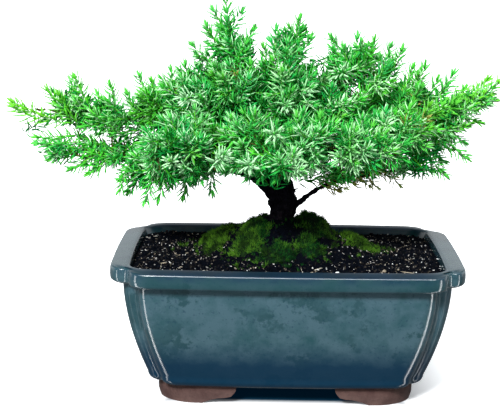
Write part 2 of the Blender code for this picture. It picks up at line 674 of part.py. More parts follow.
def root_route(turn):
    """A surface root, from the trunk's flare out and down into the soil, in a direction given in degrees."""
    out = Vector((math.cos(math.radians(turn)), math.sin(math.radians(turn))))
    route = []
    for share, drop, width in ROOT_PROFILE:
        x, y = TRUNK_FOOT + out * ROOT_REACH * share
        z = HEAP_TOP + ROOT_TOP + (ROOT_END - ROOT_TOP) * drop
        route.append((x, y, z, ROOT_RADIUS * width))
    return route


def wood(name, extra, finish=None):
    """The trunk with its surface roots in one solid, grown by that much all round."""
    trunk = tube(name, grown(smoothed(TRUNK), extra), finish, TRUNK_ROUNDNESS)
    for turn in ROOT_TURNS:
        boolean(trunk, tube(f"{name}_root_{turn}", grown(root_route(turn), extra)), "UNION")
    if finish:
        smooth(trunk, WOOD_SHARP_ANGLE)
    return trunk


def build_limbs(trunk_room):
    """Each limb, cut off at the trunk's face and clear of the limbs made before it."""
    rooms = []
    for name, points in LIMBS.items():
        route = smoothed(points)
        limb = tube(name, route, "bark")
        boolean(limb, trunk_room)
        for room, path in rooms:
            if nearest(route, path) < LIMB_NEAR:
                boolean(limb, room)
        rooms.append((tube(f"{name}_room", grown(route, GAP)), route))
        smooth(limb, WOOD_SHARP_ANGLE)
    return rooms


def nearest(route, other):
    """The shortest distance between the points of two routes, leaving out the stretch inside the trunk."""
    far = [Vector(p[:3]) for p in route[1:]]
    return min((a - Vector(b[:3])).length for a in far for b in other)


# ---------------------------------------------------------------- foliage
def frame_of(name):
    """A tuft's centre, half sizes and turn."""
    centre, halves, lean = TUFTS[name]
    place = Vector(centre) + Vector((0, 0, HEAP_TOP))
    return place, Vector(halves), Matrix.Rotation(-math.radians(lean), 3, "Y")


def reach(name, direction):
    """How far a tuft's surface lies from its centre in a direction."""
    _, halves, turn = frame_of(name)
    local = turn.transposed() @ direction
    return 1.0 / Vector((local.x / halves.x, local.y / halves.y, local.z / halves.z)).length


def inside(name, point, margin):
    """Whether a point lies in a tuft that is larger by a margin."""
    centre, halves, turn = frame_of(name)
    local = turn.transposed() @ (Vector(point) - centre)
    return sum((value / (half + margin)) ** 2 for value, half in zip(local, halves)) < 1.0


def build_tuft(name, rooms):
    """One tuft: an ellipsoid parted from its neighbours by planes and bored where wood runs through it."""
    centre, halves, turn = frame_of(name)
    shape = bmesh.new()
    bmesh.ops.create_icosphere(shape, subdivisions=2, radius=1.0)
    bmesh.ops.scale(shape, verts=shape.verts, vec=halves)
    bmesh.ops.rotate(shape, verts=shape.verts, matrix=turn)
    bmesh.ops.translate(shape, verts=shape.verts, vec=centre)
    for other in TUFTS:
        if other != name:
            part_from(shape, name, other)
    tuft = object_from_bmesh(name, shape, "needles")
    for room, route in rooms:
        if any(inside(name, point[:3], point[3] + 2 * GAP) for point in route):
            boolean(tuft, room)


def part_from(shape, name, other):
    """Cuts a tuft back to a plane midway through its overlap with another."""
    centre, away = frame_of(name)[0], frame_of(other)[0]
    line = away - centre
    distance = line.length
    line.normalize()
    mine, theirs = reach(name, line), reach(other, -line)
    at = (distance + mine - theirs) / 2 - TUFT_PARTING / 2
    point = centre + line * at
    geometry = shape.verts[:] + shape.edges[:] + shape.faces[:]
    cut = bmesh.ops.bisect_plane(
        shape, geom=geometry, plane_co=point, plane_no=line, clear_outer=True
    )
    edges = [e for e in cut["geom_cut"] if isinstance(e, bmesh.types.BMEdge)]
    if edges:
        bmesh.ops.contextual_create(shape, geom=edges)


# ---------------------------------------------------------------- the whole object
def stand_on_origin():
    """Hangs every part from one empty, and moves it so that the bounding box stands centred on the origin."""
    parts = list(bpy.data.collections[OBJECT_NAME].objects)
    helpers = list(bpy.data.collections["cutters"].objects)
    bpy.context.view_layer.update()
    graph = bpy.context.evaluated_depsgraph_get()
    solids = [part.evaluated_get(graph) for part in parts]
    corners = [solid.matrix_world @ Vector(c) for solid in solids for c in solid.bound_box]
    low = [min(c[k] for c in corners) for k in range(3)]
    high = [max(c[k] for c in corners) for k in range(3)]
    stand = bpy.data.objects.new("stand", None)
    bpy.data.collections[OBJECT_NAME].objects.link(stand)
    for obj in parts + helpers:
        obj.parent = stand
    stand.location = (-(low[0] + high[0]) / 2, -(low[1] + high[1]) / 2, -low[2])


def main():
    """Builds the pot first, then what it holds, from the drain screens up to the foliage."""
    clear_scene()
    new_collection(OBJECT_NAME)
    new_collection("cutters")
    build_pot()
    for label, side in (("left", -1), ("right", 1)):
        build_screen(f"drain_screen_{label}", side * DRAIN_SPACING / 2)
        build_staple(f"screen_staple_{label}", side * DRAIN_SPACING / 2)
    wood("trunk", 0.0, "bark")
    trunk_room = wood("trunk_room", GAP)
    build_soil(trunk_room)
    soil_lifted = soil_mesh("soil_lifted", GAP)
    for name in MOSS:
        build_moss(name, soil_lifted, trunk_room)
    rooms = build_limbs(trunk_room)
    rooms.append((trunk_room, smoothed(TRUNK)))
    for name in TUFTS:
        build_tuft(name, rooms)
    stand_on_origin()


main()
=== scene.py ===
"""A juniper bonsai in a glazed pot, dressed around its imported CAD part.

Every length is in metres, +Z is up, and the front of the pot faces -Y. The pot is given from the middle of
its footprint and the ground, and the tree from the same middle and the top of the heap of soil. That middle
and that top are read from the boxes of the CAD nodes.
"""

import logging
import math
from collections.abc import Callable, Iterator, Sequence
from contextlib import contextmanager
from dataclasses import dataclass, field
from enum import Enum

import bmesh
import bpy
import numpy as np
from mathutils import Matrix, Vector, noise
from mathutils.bvhtree import BVHTree


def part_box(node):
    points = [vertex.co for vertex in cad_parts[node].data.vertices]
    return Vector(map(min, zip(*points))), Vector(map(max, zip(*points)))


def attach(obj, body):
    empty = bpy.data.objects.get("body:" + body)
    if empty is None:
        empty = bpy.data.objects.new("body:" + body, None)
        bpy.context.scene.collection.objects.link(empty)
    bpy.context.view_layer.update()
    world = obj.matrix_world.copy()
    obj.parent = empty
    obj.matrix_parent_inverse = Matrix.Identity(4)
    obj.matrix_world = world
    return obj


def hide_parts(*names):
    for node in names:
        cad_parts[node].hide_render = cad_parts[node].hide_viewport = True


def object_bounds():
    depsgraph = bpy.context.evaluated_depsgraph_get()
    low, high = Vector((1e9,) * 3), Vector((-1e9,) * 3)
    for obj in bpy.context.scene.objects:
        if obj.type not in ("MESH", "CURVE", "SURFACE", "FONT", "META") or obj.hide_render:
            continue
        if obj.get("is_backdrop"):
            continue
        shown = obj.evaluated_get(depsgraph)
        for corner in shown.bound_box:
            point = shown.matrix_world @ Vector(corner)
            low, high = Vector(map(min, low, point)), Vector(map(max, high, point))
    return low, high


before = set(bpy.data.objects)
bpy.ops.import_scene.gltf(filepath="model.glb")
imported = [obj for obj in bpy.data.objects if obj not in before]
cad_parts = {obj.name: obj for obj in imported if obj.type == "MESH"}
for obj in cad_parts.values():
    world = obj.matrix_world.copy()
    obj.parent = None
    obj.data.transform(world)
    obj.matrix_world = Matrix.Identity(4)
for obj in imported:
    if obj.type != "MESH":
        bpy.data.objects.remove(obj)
CAD_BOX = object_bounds()

LOG = logging.getLogger("bonsai")
UP = np.array([0.0, 0.0, 1.0])

Array = np.ndarray
Piece = bpy.types.Object
Finish = bpy.types.Material
Socket = bpy.types.NodeSocket
Colour = tuple[float, float, float]
Pair = tuple[float, float]
Point = tuple[float, float, float]
Station = tuple[float, float, float, float]


class Slot(Enum):
    """The record's material slots for the new pieces, which are passed along but not used."""

    GLAZE = "glaze"
    SOIL = "soil"
    MOSS = "moss"
    BARK = "bark"
    NEEDLES = "needles"


# ------------------------------------------------------------------------------------------ places
@dataclass(frozen=True)
class Datum:
    """The middle of the pot's footprint, and the heights of its rim and the heap's top, in the row frame."""

    x: float
    y: float
    rim: float
    heap: float

    @classmethod
    def of_pot(cls, trunk_depth: float = 0.0215) -> "Datum":
        """Reads the datum from the boxes of the pot and the trunk.

        Args:
            trunk_depth: How deep the trunk's foot lies under the heap's top.

        Returns:
            The datum.
        """
        low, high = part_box("pot")
        return cls((low.x + high.x) / 2, (low.y + high.y) / 2, high.z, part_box("trunk")[0].z + trunk_depth)

    def from_heap(self, points: Array) -> Array:
        """Points given from the pot's middle and the heap's top, in the row frame."""
        return points + np.array([self.x, self.y, self.heap])

    def from_floor(self, points: Array) -> Array:
        """Points given from the pot's middle and the ground, in the row frame."""
        return points + np.array([self.x, self.y, 0.0])


# ------------------------------------------------------------------------------------------ shader graphs
class Value:
    """A socket that carries one number. Arithmetic on it adds Math nodes."""

    def __init__(self, graph: "Graph", socket: Socket) -> None:
        """Wraps a socket of a graph."""
        self.graph = graph
        self.socket = socket

    def math(self, operation: str, *others: "Value | float", clamp: bool = False) -> "Value":
        """Adds a Math node with this value first.

        Args:
            operation: The node's operation.
            others: Its other inputs.
            clamp: Whether the result is held between 0 and 1.

        Returns:
            The node's result.
        """
        sockets = {0: self} | {k + 1: other for k, other in enumerate(others)}
        made = self.graph.node("ShaderNodeMath", sockets, operation=operation, use_clamp=clamp)
        return Value(self.graph, made.outputs[0])

    def __add__(self, other: "Value | float") -> "Value":
        """Sum."""
        return self.math("ADD", other)

    __radd__ = __add__

    def __mul__(self, other: "Value | float") -> "Value":
        """Product."""
        return self.math("MULTIPLY", other)

    __rmul__ = __mul__

    def __sub__(self, other: "Value | float") -> "Value":
        """Difference."""
        return self.math("SUBTRACT", other)

    def __rsub__(self, other: float) -> "Value":
        """Difference from a number."""
        return self.math("MULTIPLY_ADD", -1.0, other)

    def between(self, low: float, high: float) -> "Value":
        """This value as a share of the way from low to high, held between 0 and 1."""
        return self.math("MULTIPLY_ADD", 1 / (high - low), -low / (high - low), clamp=True)


Input = Value | float | Sequence[float] | Socket


class Graph:
    """A material's nodes, from its Principled shader backwards."""

    def __init__(self, name: str, **constants: float) -> None:
        """Makes the material.

        Args:
            name: The finish's name.
            constants: Principled inputs that are the same all over, with _ for each space.
        """
        self.material = bpy.data.materials.new(name)
        self.material.use_nodes = True
        self.tree = self.material.node_tree
        self.shader = self.tree.nodes["Principled BSDF"]
        for key, value in constants.items():
            self.shader.inputs[key.replace("_", " ")].default_value = value
        self.place = self.node("ShaderNodeTexCoord").outputs["Object"]

    def node(
        self,
        kind: str,
        inputs: dict[str | int, Input] | None = None,
        stops: Sequence = (),
        **settings: object,
    ) -> bpy.types.Node:
        """Adds a node of any type.

        Args:
            kind: The node's type.
            inputs: A value or a link for each named or numbered input.
            stops: A ramp's (position, colour) stops.
            settings: The node's own settings, set before its inputs.

        Returns:
            The node.
        """
        made = self.tree.nodes.new(kind)
        for key, value in settings.items():
            setattr(made, key, value)
        for k, (position, colour) in enumerate(stops):
            stop = made.color_ramp.elements[k] if k < 2 else made.color_ramp.elements.new(position)
            stop.position = position
            stop.color = (*colour, 1.0)
        for key, value in (inputs or {}).items():
            self.feed(made.inputs[key], value)
        return made

    def feed(self, socket: Socket, value: Input) -> None:
        """Links a socket, or sets its number or colour."""
        if isinstance(value, Value):
            self.tree.links.new(value.socket, socket)
        elif isinstance(value, Socket):
            self.tree.links.new(value, socket)
        elif isinstance(value, (int, float)):
            socket.default_value = value
        else:
            socket.default_value = (*value, 1.0) if socket.type == "RGBA" else tuple(value)

    def stretched(self, scale: Sequence[float]) -> Socket:
        """Object coordinates stretched along each axis."""
        return self.node("ShaderNodeMapping", {"Vector": self.place, "Scale": scale}).outputs[0]

    def cloud(self, size: float, detail: float = 3.0, rough: float = 0.5, at: Input | None = None) -> Value:
        """Noise with features of about that size.

        Args:
            size: The size in metres.
            detail: Octaves.
            rough: How strong the finer octaves are.
            at: Other coordinates than the object's own.

        Returns:
            Values about 0.5.
        """
        inputs = {"Vector": at or self.place, "Scale": 1 / size, "Detail": detail, "Roughness": rough}
        return Value(self, self.node("ShaderNodeTexNoise", inputs).outputs[0])

    def cells(self, size: float) -> Value:
        """Distance to the nearest of points about that size apart."""
        inputs = {"Vector": self.place, "Scale": 1 / size}
        return Value(self, self.node("ShaderNodeTexVoronoi", inputs).outputs["Distance"])

    def axis(self, name: str) -> Value:
        """A point's own X, Y or Z."""
        return Value(self, self.node("ShaderNodeSeparateXYZ", {0: self.place}).outputs[name])

    def height(self) -> Value:
        """Height above the ground."""
        return self.axis("Z")

    def from_middle(self, name: str) -> Value:
        """How far from the pot's middle a point is along one axis."""
        low, high = (getattr(corner, name.lower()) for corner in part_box("pot"))
        return (self.axis(name) - (low + high) / 2).math("ABSOLUTE")

    def across(self) -> Value:
        """How far to the left or right of the pot's middle a point is."""
        return self.from_middle("X")

    def attribute(self, name: str) -> tuple[Value, Value, Value]:
        """The three channels of a colour attribute."""
        read = self.node("ShaderNodeAttribute", attribute_name=name)
        parts = self.node("ShaderNodeSeparateColor", {0: read.outputs["Color"]})
        return tuple(Value(self, parts.outputs[k]) for k in range(3))

    def blend(self, share: Input, first: Input, second: Input, mode: str = "MIX") -> Socket:
        """A colour between two."""
        inputs = {0: share, 6: first, 7: second}
        made = self.node("ShaderNodeMix", inputs, data_type="RGBA", blend_type=mode)
        return made.outputs[2]

    def ramp(self, share: Value, *stops: tuple[float, Colour]) -> Socket:
        """A colour from a ramp."""
        return self.node("ShaderNodeValToRGB", {0: share}, stops).outputs[0]

    def bump(self, relief: Value, depth: float, strength: float = 1.0) -> None:
        """Gives the shader a relief of that depth in metres."""
        inputs = {"Height": relief, "Distance": depth, "Strength": strength}
        self.set(Normal=self.node("ShaderNodeBump", inputs).outputs[0])

    def set(self, **inputs: Input) -> None:
        """Feeds the shader's inputs, with _ for each space."""
        for key, value in inputs.items():
            self.feed(self.shader.inputs[key.replace("_", " ")], value)


def grey(level: float) -> Colour:
    """A grey of that level."""
    return (level, level, level)


# ------------------------------------------------------------------------------------------ finishes
@dataclass(frozen=True)
class Glaze:
    """A mottled slate-blue gloss glaze over red-brown clay, which stays bare on the feet and underneath.
    Reflections and shade are painted on the rim, in the neck and towards the foot.
    """

    slate: Colour = (0.048, 0.098, 0.122)
    teal: Colour = (0.012, 0.056, 0.066)
    dark_teal: Colour = (0.003, 0.034, 0.040)
    navy: Colour = (0.000, 0.020, 0.048)
    clay: Colour = (0.056, 0.027, 0.024)
    clay_pale: Colour = (0.100, 0.056, 0.048)
    clay_grain: Colour = (0.030, 0.020, 0.018)
    # painted reflection of the dark crown on the rim's top
    painted_rim_reflection: Colour = (0.0, 0.012, 0.028)
    mottle_size: float = 0.016
    patch_size: float = 0.040
    run_size: float = 0.012
    blot_size: float = 0.034
    pit_size: float = 0.0052
    lean: float = 0.167
    groove: float = 0.0893
    bare_below: float = 0.0112
    bare_edge: float = 0.0003
    painted_foot_reflection_full: float = 0.026
    painted_foot_reflection_top: float = 0.042
    ends: Pair = (0.076, 0.094)
    # depths below the rim's top at which each mark starts and is full, going up
    rim_reflection_depths: Pair = (0.0016, 0.0010)
    rim_face_shade_depths: Pair = (0.0090, 0.0082)
    upper_face_reflection_depths: Pair = (0.0056, 0.0030)
    neck_shade_depths: Pair = (0.0125, 0.0104)
    neck_shade_end_depths: Pair = (0.0092, 0.0080)
    groove_end_depths: Pair = (0.0105, 0.0095)

    def material(self, rim: float) -> Finish:
        """Builds the finish.

        Args:
            rim: Height of the pot's rim.

        Returns:
            The material.
        """
        g = Graph("glaze", Specular_IOR_Level=0.22, Coat_Roughness=0.19, Coat_IOR=1.45)

        def above(depths: Pair) -> Value:
            """Rises from 0 at the first of two depths below the rim to 1 at the second."""
            return g.height().between(rim - depths[0], rim - depths[1])

        mottle = g.cloud(self.mottle_size, 6, 0.68)
        patches = g.cloud(self.patch_size, 4, 0.65)
        runs = g.cloud(self.run_size, 3, 0.5, g.stretched((1, 1, 0.18)))
        speck = g.cloud(0.0016, 2)
        body = g.blend((mottle * 0.85 + runs * 0.25).between(0.36, 0.62), self.teal, self.slate)
        blots = g.cloud(self.blot_size, 7, 0.72)
        body = g.blend(blots.between(0.545, 0.585) * mottle.between(0.35, 0.55) * 0.70, body, self.dark_teal)
        body = g.blend(speck.between(0.60, 0.72) * 0.45, body, self.navy)
        # Painted reflection: the glaze turns navy towards the foot, for the shaded floor mirrored in the
        # lower wall.
        low = g.height() + mottle * 0.012 - 0.006
        body = g.blend((1 - low.between(self.painted_foot_reflection_full, self.painted_foot_reflection_top)) * 0.92, body, self.navy)
        ends = g.across().between(*self.ends)
        # Painted reflection: the rim's top is painted near black where it mirrors the dark crown, less at the
        # ends.
        line = above(self.rim_reflection_depths) * (1 - ends * 0.85)
        # Painted shade: the rim's outer face is darkened towards dark teal, less at the ends.
        face = above(self.rim_face_shade_depths) * (1 - ends * 0.6)
        body = g.blend(face * 0.60, body, self.dark_teal)
        # Painted reflection: a mottled navy band on the upper part of the rim's face, for the dark crown
        # mirrored there, weaker at the ends.
        band = above(self.upper_face_reflection_depths) * mottle.between(0.40, 0.56) * (1 - ends * 0.5)
        body = g.blend(band * 0.6, g.blend(line, body, self.painted_rim_reflection), self.navy)
        # Painted shade: a dark teal band in the neck, under the rim's overhang.
        neck = above(self.neck_shade_depths) * (1 - above(self.neck_shade_end_depths))
        body = g.blend(neck * 0.30, body, self.dark_teal)
        grain = g.cloud(0.0011, 4, 0.7)
        clay = g.blend(g.cloud(0.008, 4, 0.6).between(0.35, 0.70), self.clay, self.clay_pale)
        clay = g.blend(grain.between(0.55, 0.68) * 0.6, clay, self.clay_grain)
        drip = g.height() + g.cloud(0.006, 3) * 0.0016 - 0.0008
        bare = 1 - drip.between(self.bare_below - self.bare_edge, self.bare_below + self.bare_edge)
        pits = g.cells(self.pit_size).between(0.02, 0.10)
        g.set(Base_Color=g.blend(bare, body, clay))
        slant = g.across() + (rim - g.height()) * self.lean
        beyond = slant.between(self.groove - 0.001, self.groove + 0.0005)
        beyond = beyond * (1 - above(self.groove_end_depths))
        dull = line.math("MAXIMUM", beyond * 0.95)
        g.set(Roughness=bare * 0.62 + mottle * 0.14 + dull * 0.30 + 0.12)
        gloss = (1 - bare) * g.height().between(self.bare_below, self.painted_foot_reflection_top)
        g.set(Coat_Weight=gloss * (1 - dull * 0.85) * 0.8)
        relief = mottle * 0.55 + patches * 0.45 + (1 - bare) * pits * 0.10 + bare * grain * 0.6
        g.bump(relief, 0.0006, 0.55)
        return g.material


@dataclass(frozen=True)
class Grit:
    """Potting mix. Each crumb's own tint is in the attribute "grain": red its tone, green its shade."""

    dark: Colour = (0.0020, 0.0030, 0.0060)
    brown: Colour = (0.030, 0.026, 0.025)
    tan: Colour = (0.340, 0.290, 0.220)
    white: Colour = (0.850, 0.870, 0.880)

    def material(self) -> Finish:
        """Builds the finish."""
        g = Graph("soil", Specular_IOR_Level=0.01)
        tone, shade, _ = g.attribute("grain")
        stops = ((0.0, self.dark), (0.45, self.dark), (0.72, self.brown), (0.86, self.tan), (1.0, self.white))
        fine = g.cloud(0.0009, 4, 0.65)
        shades = g.ramp(shade, (0, grey(0.35)), (1, grey(1.5)))
        colour = g.blend(1.0, g.ramp(tone, *stops), shades, "MULTIPLY")
        colour = g.blend(1.0, colour, g.ramp(fine, (0.3, grey(0.55)), (0.75, grey(1.35))), "MULTIPLY")
        g.set(Base_Color=colour, Roughness=fine * 0.35 + 0.60)
        g.bump(fine, 0.0005, 0.8)
        return g.material


@dataclass(frozen=True)
class Fuzz:
    """Cushion moss. The attribute "growth" has how far up a leaf a point is, and each leaf's tint."""

    shade: Colour = (0.0010, 0.0060, 0.0015)
    green: Colour = (0.0020, 0.0600, 0.0080)
    olive: Colour = (0.0850, 0.2250, 0.0160)

    def material(self) -> Finish:
        """Builds the finish."""
        g = Graph("moss", Specular_IOR_Level=0.03)
        along, tint, _ = g.attribute("growth")
        patch = g.cloud(0.024, 3, 0.6) + g.across().between(0.016, 0.034) * 0.38 - 0.12
        lit = g.blend((tint * 0.5 + patch).between(0.50, 0.92), self.green, self.olive)
        # Painted shade: each leaf darkens towards its base to the shade colour, deep in the cushion.
        thick = along.between(0.05, 0.85) * (g.cloud(0.010, 2).between(0.36, 0.54) * 0.85 + 0.15)
        g.set(Base_Color=g.blend(thick, self.shade, lit))
        g.set(Roughness=tint * 0.2 + 0.7)
        return g.material


@dataclass(frozen=True)
class Bark:
    """Nearly black flaking bark with a purple-brown cast. The attribute "youth" is 1 on young twigs."""

    crack: Colour = (0.0008, 0.0007, 0.0012)
    plate: Colour = (0.0040, 0.0034, 0.0062)
    flake: Colour = (0.0240, 0.0190, 0.0230)
    young: Colour = (0.0950, 0.1050, 0.0220)

    def material(self) -> Finish:
        """Builds the finish."""
        g = Graph("bark", Specular_IOR_Level=0.04)
        long = g.cloud(0.0022, 5, 0.65, g.stretched((1, 1, 0.35)))
        wide = g.cloud(0.0090, 3)
        relief = long * 0.7 + g.cells(0.0021) * 0.5
        colour = g.blend(relief.between(0.30, 0.75), self.crack, self.plate)
        colour = g.blend((long * 0.6 + wide * 0.6).between(0.68, 0.86) * 0.8, colour, self.flake)
        youth, _, _ = g.attribute("youth")
        colour = g.blend(youth * wide.between(0.25, 0.60), colour, self.young)
        g.set(Base_Color=colour, Roughness=long * 0.3 + 0.62)
        g.bump(relief, 0.0009, 1.0)
        return g.material


@dataclass(frozen=True)
class Needles:
    """Juniper needles with pale bands on their inner faces, which double as painted highlights, and with
    painted shade on the inner shoots and at the needles' bases.

    The attribute "growth" has how far along its needle a point is, its shoot's tint, and 1 on an inner face.
    The attribute "vigour" has how fresh the shoot is, how dry, and how blue.
    """

    base: Colour = (0.050, 0.320, 0.020)
    deep: Colour = (0.000, 0.110, 0.003)
    green: Colour = (0.050, 0.600, 0.044)
    fresh: Colour = (0.280, 0.860, 0.050)
    blue: Colour = (0.010, 0.480, 0.130)
    pale: Colour = (0.640, 1.000, 0.620)
    dry: Colour = (0.420, 0.350, 0.090)

    def material(self) -> Finish:
        """Builds the finish."""
        g = Graph("needles", Specular_IOR_Level=0.015)
        along, tint, band = g.attribute("growth")
        fresh, dry, blue = g.attribute("vigour")
        # Partly painted shade: low tints, which the shoots inside the crown get, blend towards the deep green
        # for the shade there as well as for their age.
        colour = g.blend(tint, self.deep, self.green)
        colour = g.blend(blue, colour, self.blue)
        colour = g.blend(fresh, colour, self.fresh)
        # Painted shade: each needle darkens towards its base, where it meets the stem.
        colour = g.blend((1 - along).between(0.72, 1.0) * 0.8, colour, self.base)
        veins = g.cloud(0.0012, 2).between(0.25, 0.60) * 0.35 + 0.65
        # The pale bands are the needles' own, and also painted highlights: they fade out on low-tint shoots,
        # the ones in the crown's shade.
        pale = band * veins * (1 - fresh * 0.45) * (1 - along.between(0.86, 1.0)) * tint.between(0.38, 0.88)
        colour = g.blend(pale * 0.95, colour, self.pale)
        colour = g.blend(dry, colour, self.dry)
        g.set(Base_Color=colour, Roughness=tint * 0.15 + band * 0.12 + 0.32)
        return g.material


@dataclass(frozen=True)
class Moulding:
    """Black moulded plastic mesh with a fine texture."""

    black: Colour = (0.010, 0.010, 0.012)
    worn: Colour = (0.045, 0.044, 0.046)

    def material(self) -> Finish:
        """Builds the finish."""
        g = Graph("screen", Specular_IOR_Level=0.4)
        fine = g.cloud(0.0008, 3)
        g.set(Base_Color=g.blend(fine.between(0.4, 0.8), self.black, self.worn), Roughness=fine * 0.3 + 0.4)
        g.bump(fine, 0.0001, 0.4)
        return g.material


@dataclass(frozen=True)
class Wire:
    """Dull drawn wire, darker where it has oxidised."""

    bright: Colour = (0.52, 0.51, 0.49)
    dull: Colour = (0.20, 0.19, 0.18)

    def material(self) -> Finish:
        """Builds the finish."""
        g = Graph("wire", Metallic=1.0)
        marks = g.cloud(0.0020, 4, 0.6)
        colour = g.blend(marks.between(0.4, 0.7), self.bright, self.dull)
        g.set(Base_Color=colour, Roughness=marks * 0.3 + 0.25)
        return g.material


# ------------------------------------------------------------------------------------------ modelling
class Bench:
    """Modelling moves that every piece shares, made with Blender's own operators."""

    @staticmethod
    def clear_selection() -> None:
        """Deselects every object."""
        bpy.ops.object.select_all(action="DESELECT")

    @staticmethod
    def take(obj: Piece, *others: Piece) -> None:
        """Selects objects, with the first one active."""
        Bench.clear_selection()
        for each in (obj, *others):
            each.select_set(True)
        bpy.context.view_layer.objects.active = obj

    @staticmethod
    def start(primitive: Callable[..., set[str]], **settings: object) -> Piece:
        """A new object from one of Blender's primitives."""
        Bench.clear_selection()
        primitive(**settings)
        return bpy.context.object

    @staticmethod
    @contextmanager
    def editing(obj: Piece) -> Iterator[None]:
        """Edit mode on one object, with all of it selected."""
        Bench.take(obj)
        bpy.ops.object.mode_set(mode="EDIT")
        bpy.ops.mesh.select_all(action="SELECT")
        try:
            yield
        finally:
            bpy.ops.object.mode_set(mode="OBJECT")

    @staticmethod
    def pick_faces(obj: Piece, chosen: Callable[[bmesh.types.BMFace], bool]) -> None:
        """Selects in edit mode the faces that a test passes."""
        bpy.ops.mesh.select_mode(type="FACE")
        bpy.ops.mesh.select_all(action="DESELECT")
        shape = bmesh.from_edit_mesh(obj.data)
        for face in shape.faces:
            face.select_set(chosen(face))
        shape.select_flush_mode()
        bmesh.update_edit_mesh(obj.data)

    @staticmethod
    def apply(obj: Piece, kind: str, **settings: object) -> None:
        """Adds a modifier to an object and applies it."""
        Bench.take(obj)
        modifier = obj.modifiers.new(kind.lower(), kind)
        for key, value in settings.items():
            setattr(modifier, key, value)
        bpy.ops.object.modifier_apply(modifier=modifier.name)

    @staticmethod
    def wrap(name: str, rows: Array) -> Piece:
        """Wraps a grid round rings of points into a closed tube.

        Args:
            name: The piece's name.
            rows: Points as (ring, place in the ring, xyz).

        Returns:
            The closed piece.
        """
        rings, around = rows.shape[:2]
        grid = bpy.ops.mesh.primitive_grid_add
        obj = Bench.start(grid, x_subdivisions=around, y_subdivisions=rings - 1, size=2)
        obj.name = obj.data.name = name
        start = Bench.points(obj)
        column = np.rint((start[:, 0] + 1) / 2 * around).astype(int) % around
        row = np.rint((start[:, 1] + 1) / 2 * (rings - 1)).astype(int)
        Bench.place(obj, rows[row, column])
        with Bench.editing(obj):
            bpy.ops.mesh.remove_doubles(threshold=1e-6)
            bpy.ops.mesh.fill_holes(sides=0)
            bpy.ops.mesh.select_all(action="SELECT")
            bpy.ops.mesh.normals_make_consistent(inside=False)
        return obj

    @staticmethod
    def points(obj: Piece) -> Array:
        """The object's vertices."""
        found = np.empty(len(obj.data.vertices) * 3, np.float32)
        obj.data.vertices.foreach_get("co", found)
        return found.reshape(-1, 3).astype(float)

    @staticmethod
    def place(obj: Piece, points: Array) -> None:
        """Moves the object's vertices."""
        obj.data.vertices.foreach_set("co", points.astype(np.float32).ravel())
        obj.data.update()

    @staticmethod
    def triangles(obj: Piece) -> Array:
        """Corners of the object's triangles, as (triangle, corner, xyz)."""
        obj.data.calc_loop_triangles()
        found = np.empty(len(obj.data.loop_triangles) * 3, np.int32)
        obj.data.loop_triangles.foreach_get("vertices", found)
        return Bench.points(obj)[found.reshape(-1, 3)]

    @staticmethod
    def join(obj: Piece, *others: Piece) -> Piece:
        """Joins objects into the first."""
        Bench.take(obj, *others)
        bpy.ops.object.join()
        return obj

    @staticmethod
    def discard(obj: Piece) -> None:
        """Removes a helper and its mesh."""
        mesh = obj.data
        bpy.data.objects.remove(obj)
        bpy.data.meshes.remove(mesh)

    @staticmethod
    def copy_of(node: str, name: str) -> Piece:
        """A copy of a CAD node with its mesh merged."""
        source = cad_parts[node]
        obj = bpy.data.objects.new(name, source.data.copy())
        bpy.context.scene.collection.objects.link(obj)
        with Bench.editing(obj):
            bpy.ops.mesh.remove_doubles(threshold=1e-6)
        obj.data.materials.clear()
        return obj

    @staticmethod
    def dress(
        obj: Piece, finish: Finish, slot: Slot, replaced: Sequence[str] = (), angle: float = 40
    ) -> Piece:
        """Finishes a piece: its material, its shading, its body and the nodes it stands for.

        Args:
            obj: The piece.
            finish: Its material.
            slot: Not used.
            replaced: CAD nodes that it stands for.
            angle: Degrees from which an edge is sharp; 0 leaves the piece faceted.

        Returns:
            The piece.
        """
        obj.data.materials.clear()
        obj.data.materials.append(finish)
        if angle:
            Bench.take(obj)
            bpy.ops.object.shade_smooth_by_angle(angle=math.radians(angle))
        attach(obj, "root")
        if replaced:
            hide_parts(*replaced)
        LOG.info("%s: %d faces", obj.name, len(obj.data.polygons))
        return obj


@dataclass(frozen=True)
class Stamp:
    """A small closed shape that is copied many times: its points, its triangles, and 1 on each marked one."""

    points: Array
    faces: Array
    marked: Array

    @classmethod
    def from_object(cls, obj: Piece, mark: Sequence[float] = (0, 0, 0), bend: float = 0) -> "Stamp":
        """Reads a modelled shape and removes its object.

        Args:
            obj: The modelled shape.
            mark: A direction; triangles that look that way are marked.
            bend: How far its end curves towards +Y.

        Returns:
            The stamp.
        """
        obj.data.calc_loop_triangles()
        faces = np.array([t.vertices[:] for t in obj.data.loop_triangles])
        points = Bench.points(obj)
        marked = (unit(crossed(points[faces])) @ np.array(mark, float) > 0.6).astype(float)
        points[:, 1] += bend * points[:, 2] ** 2
        Bench.discard(obj)
        return cls(points, faces, marked)


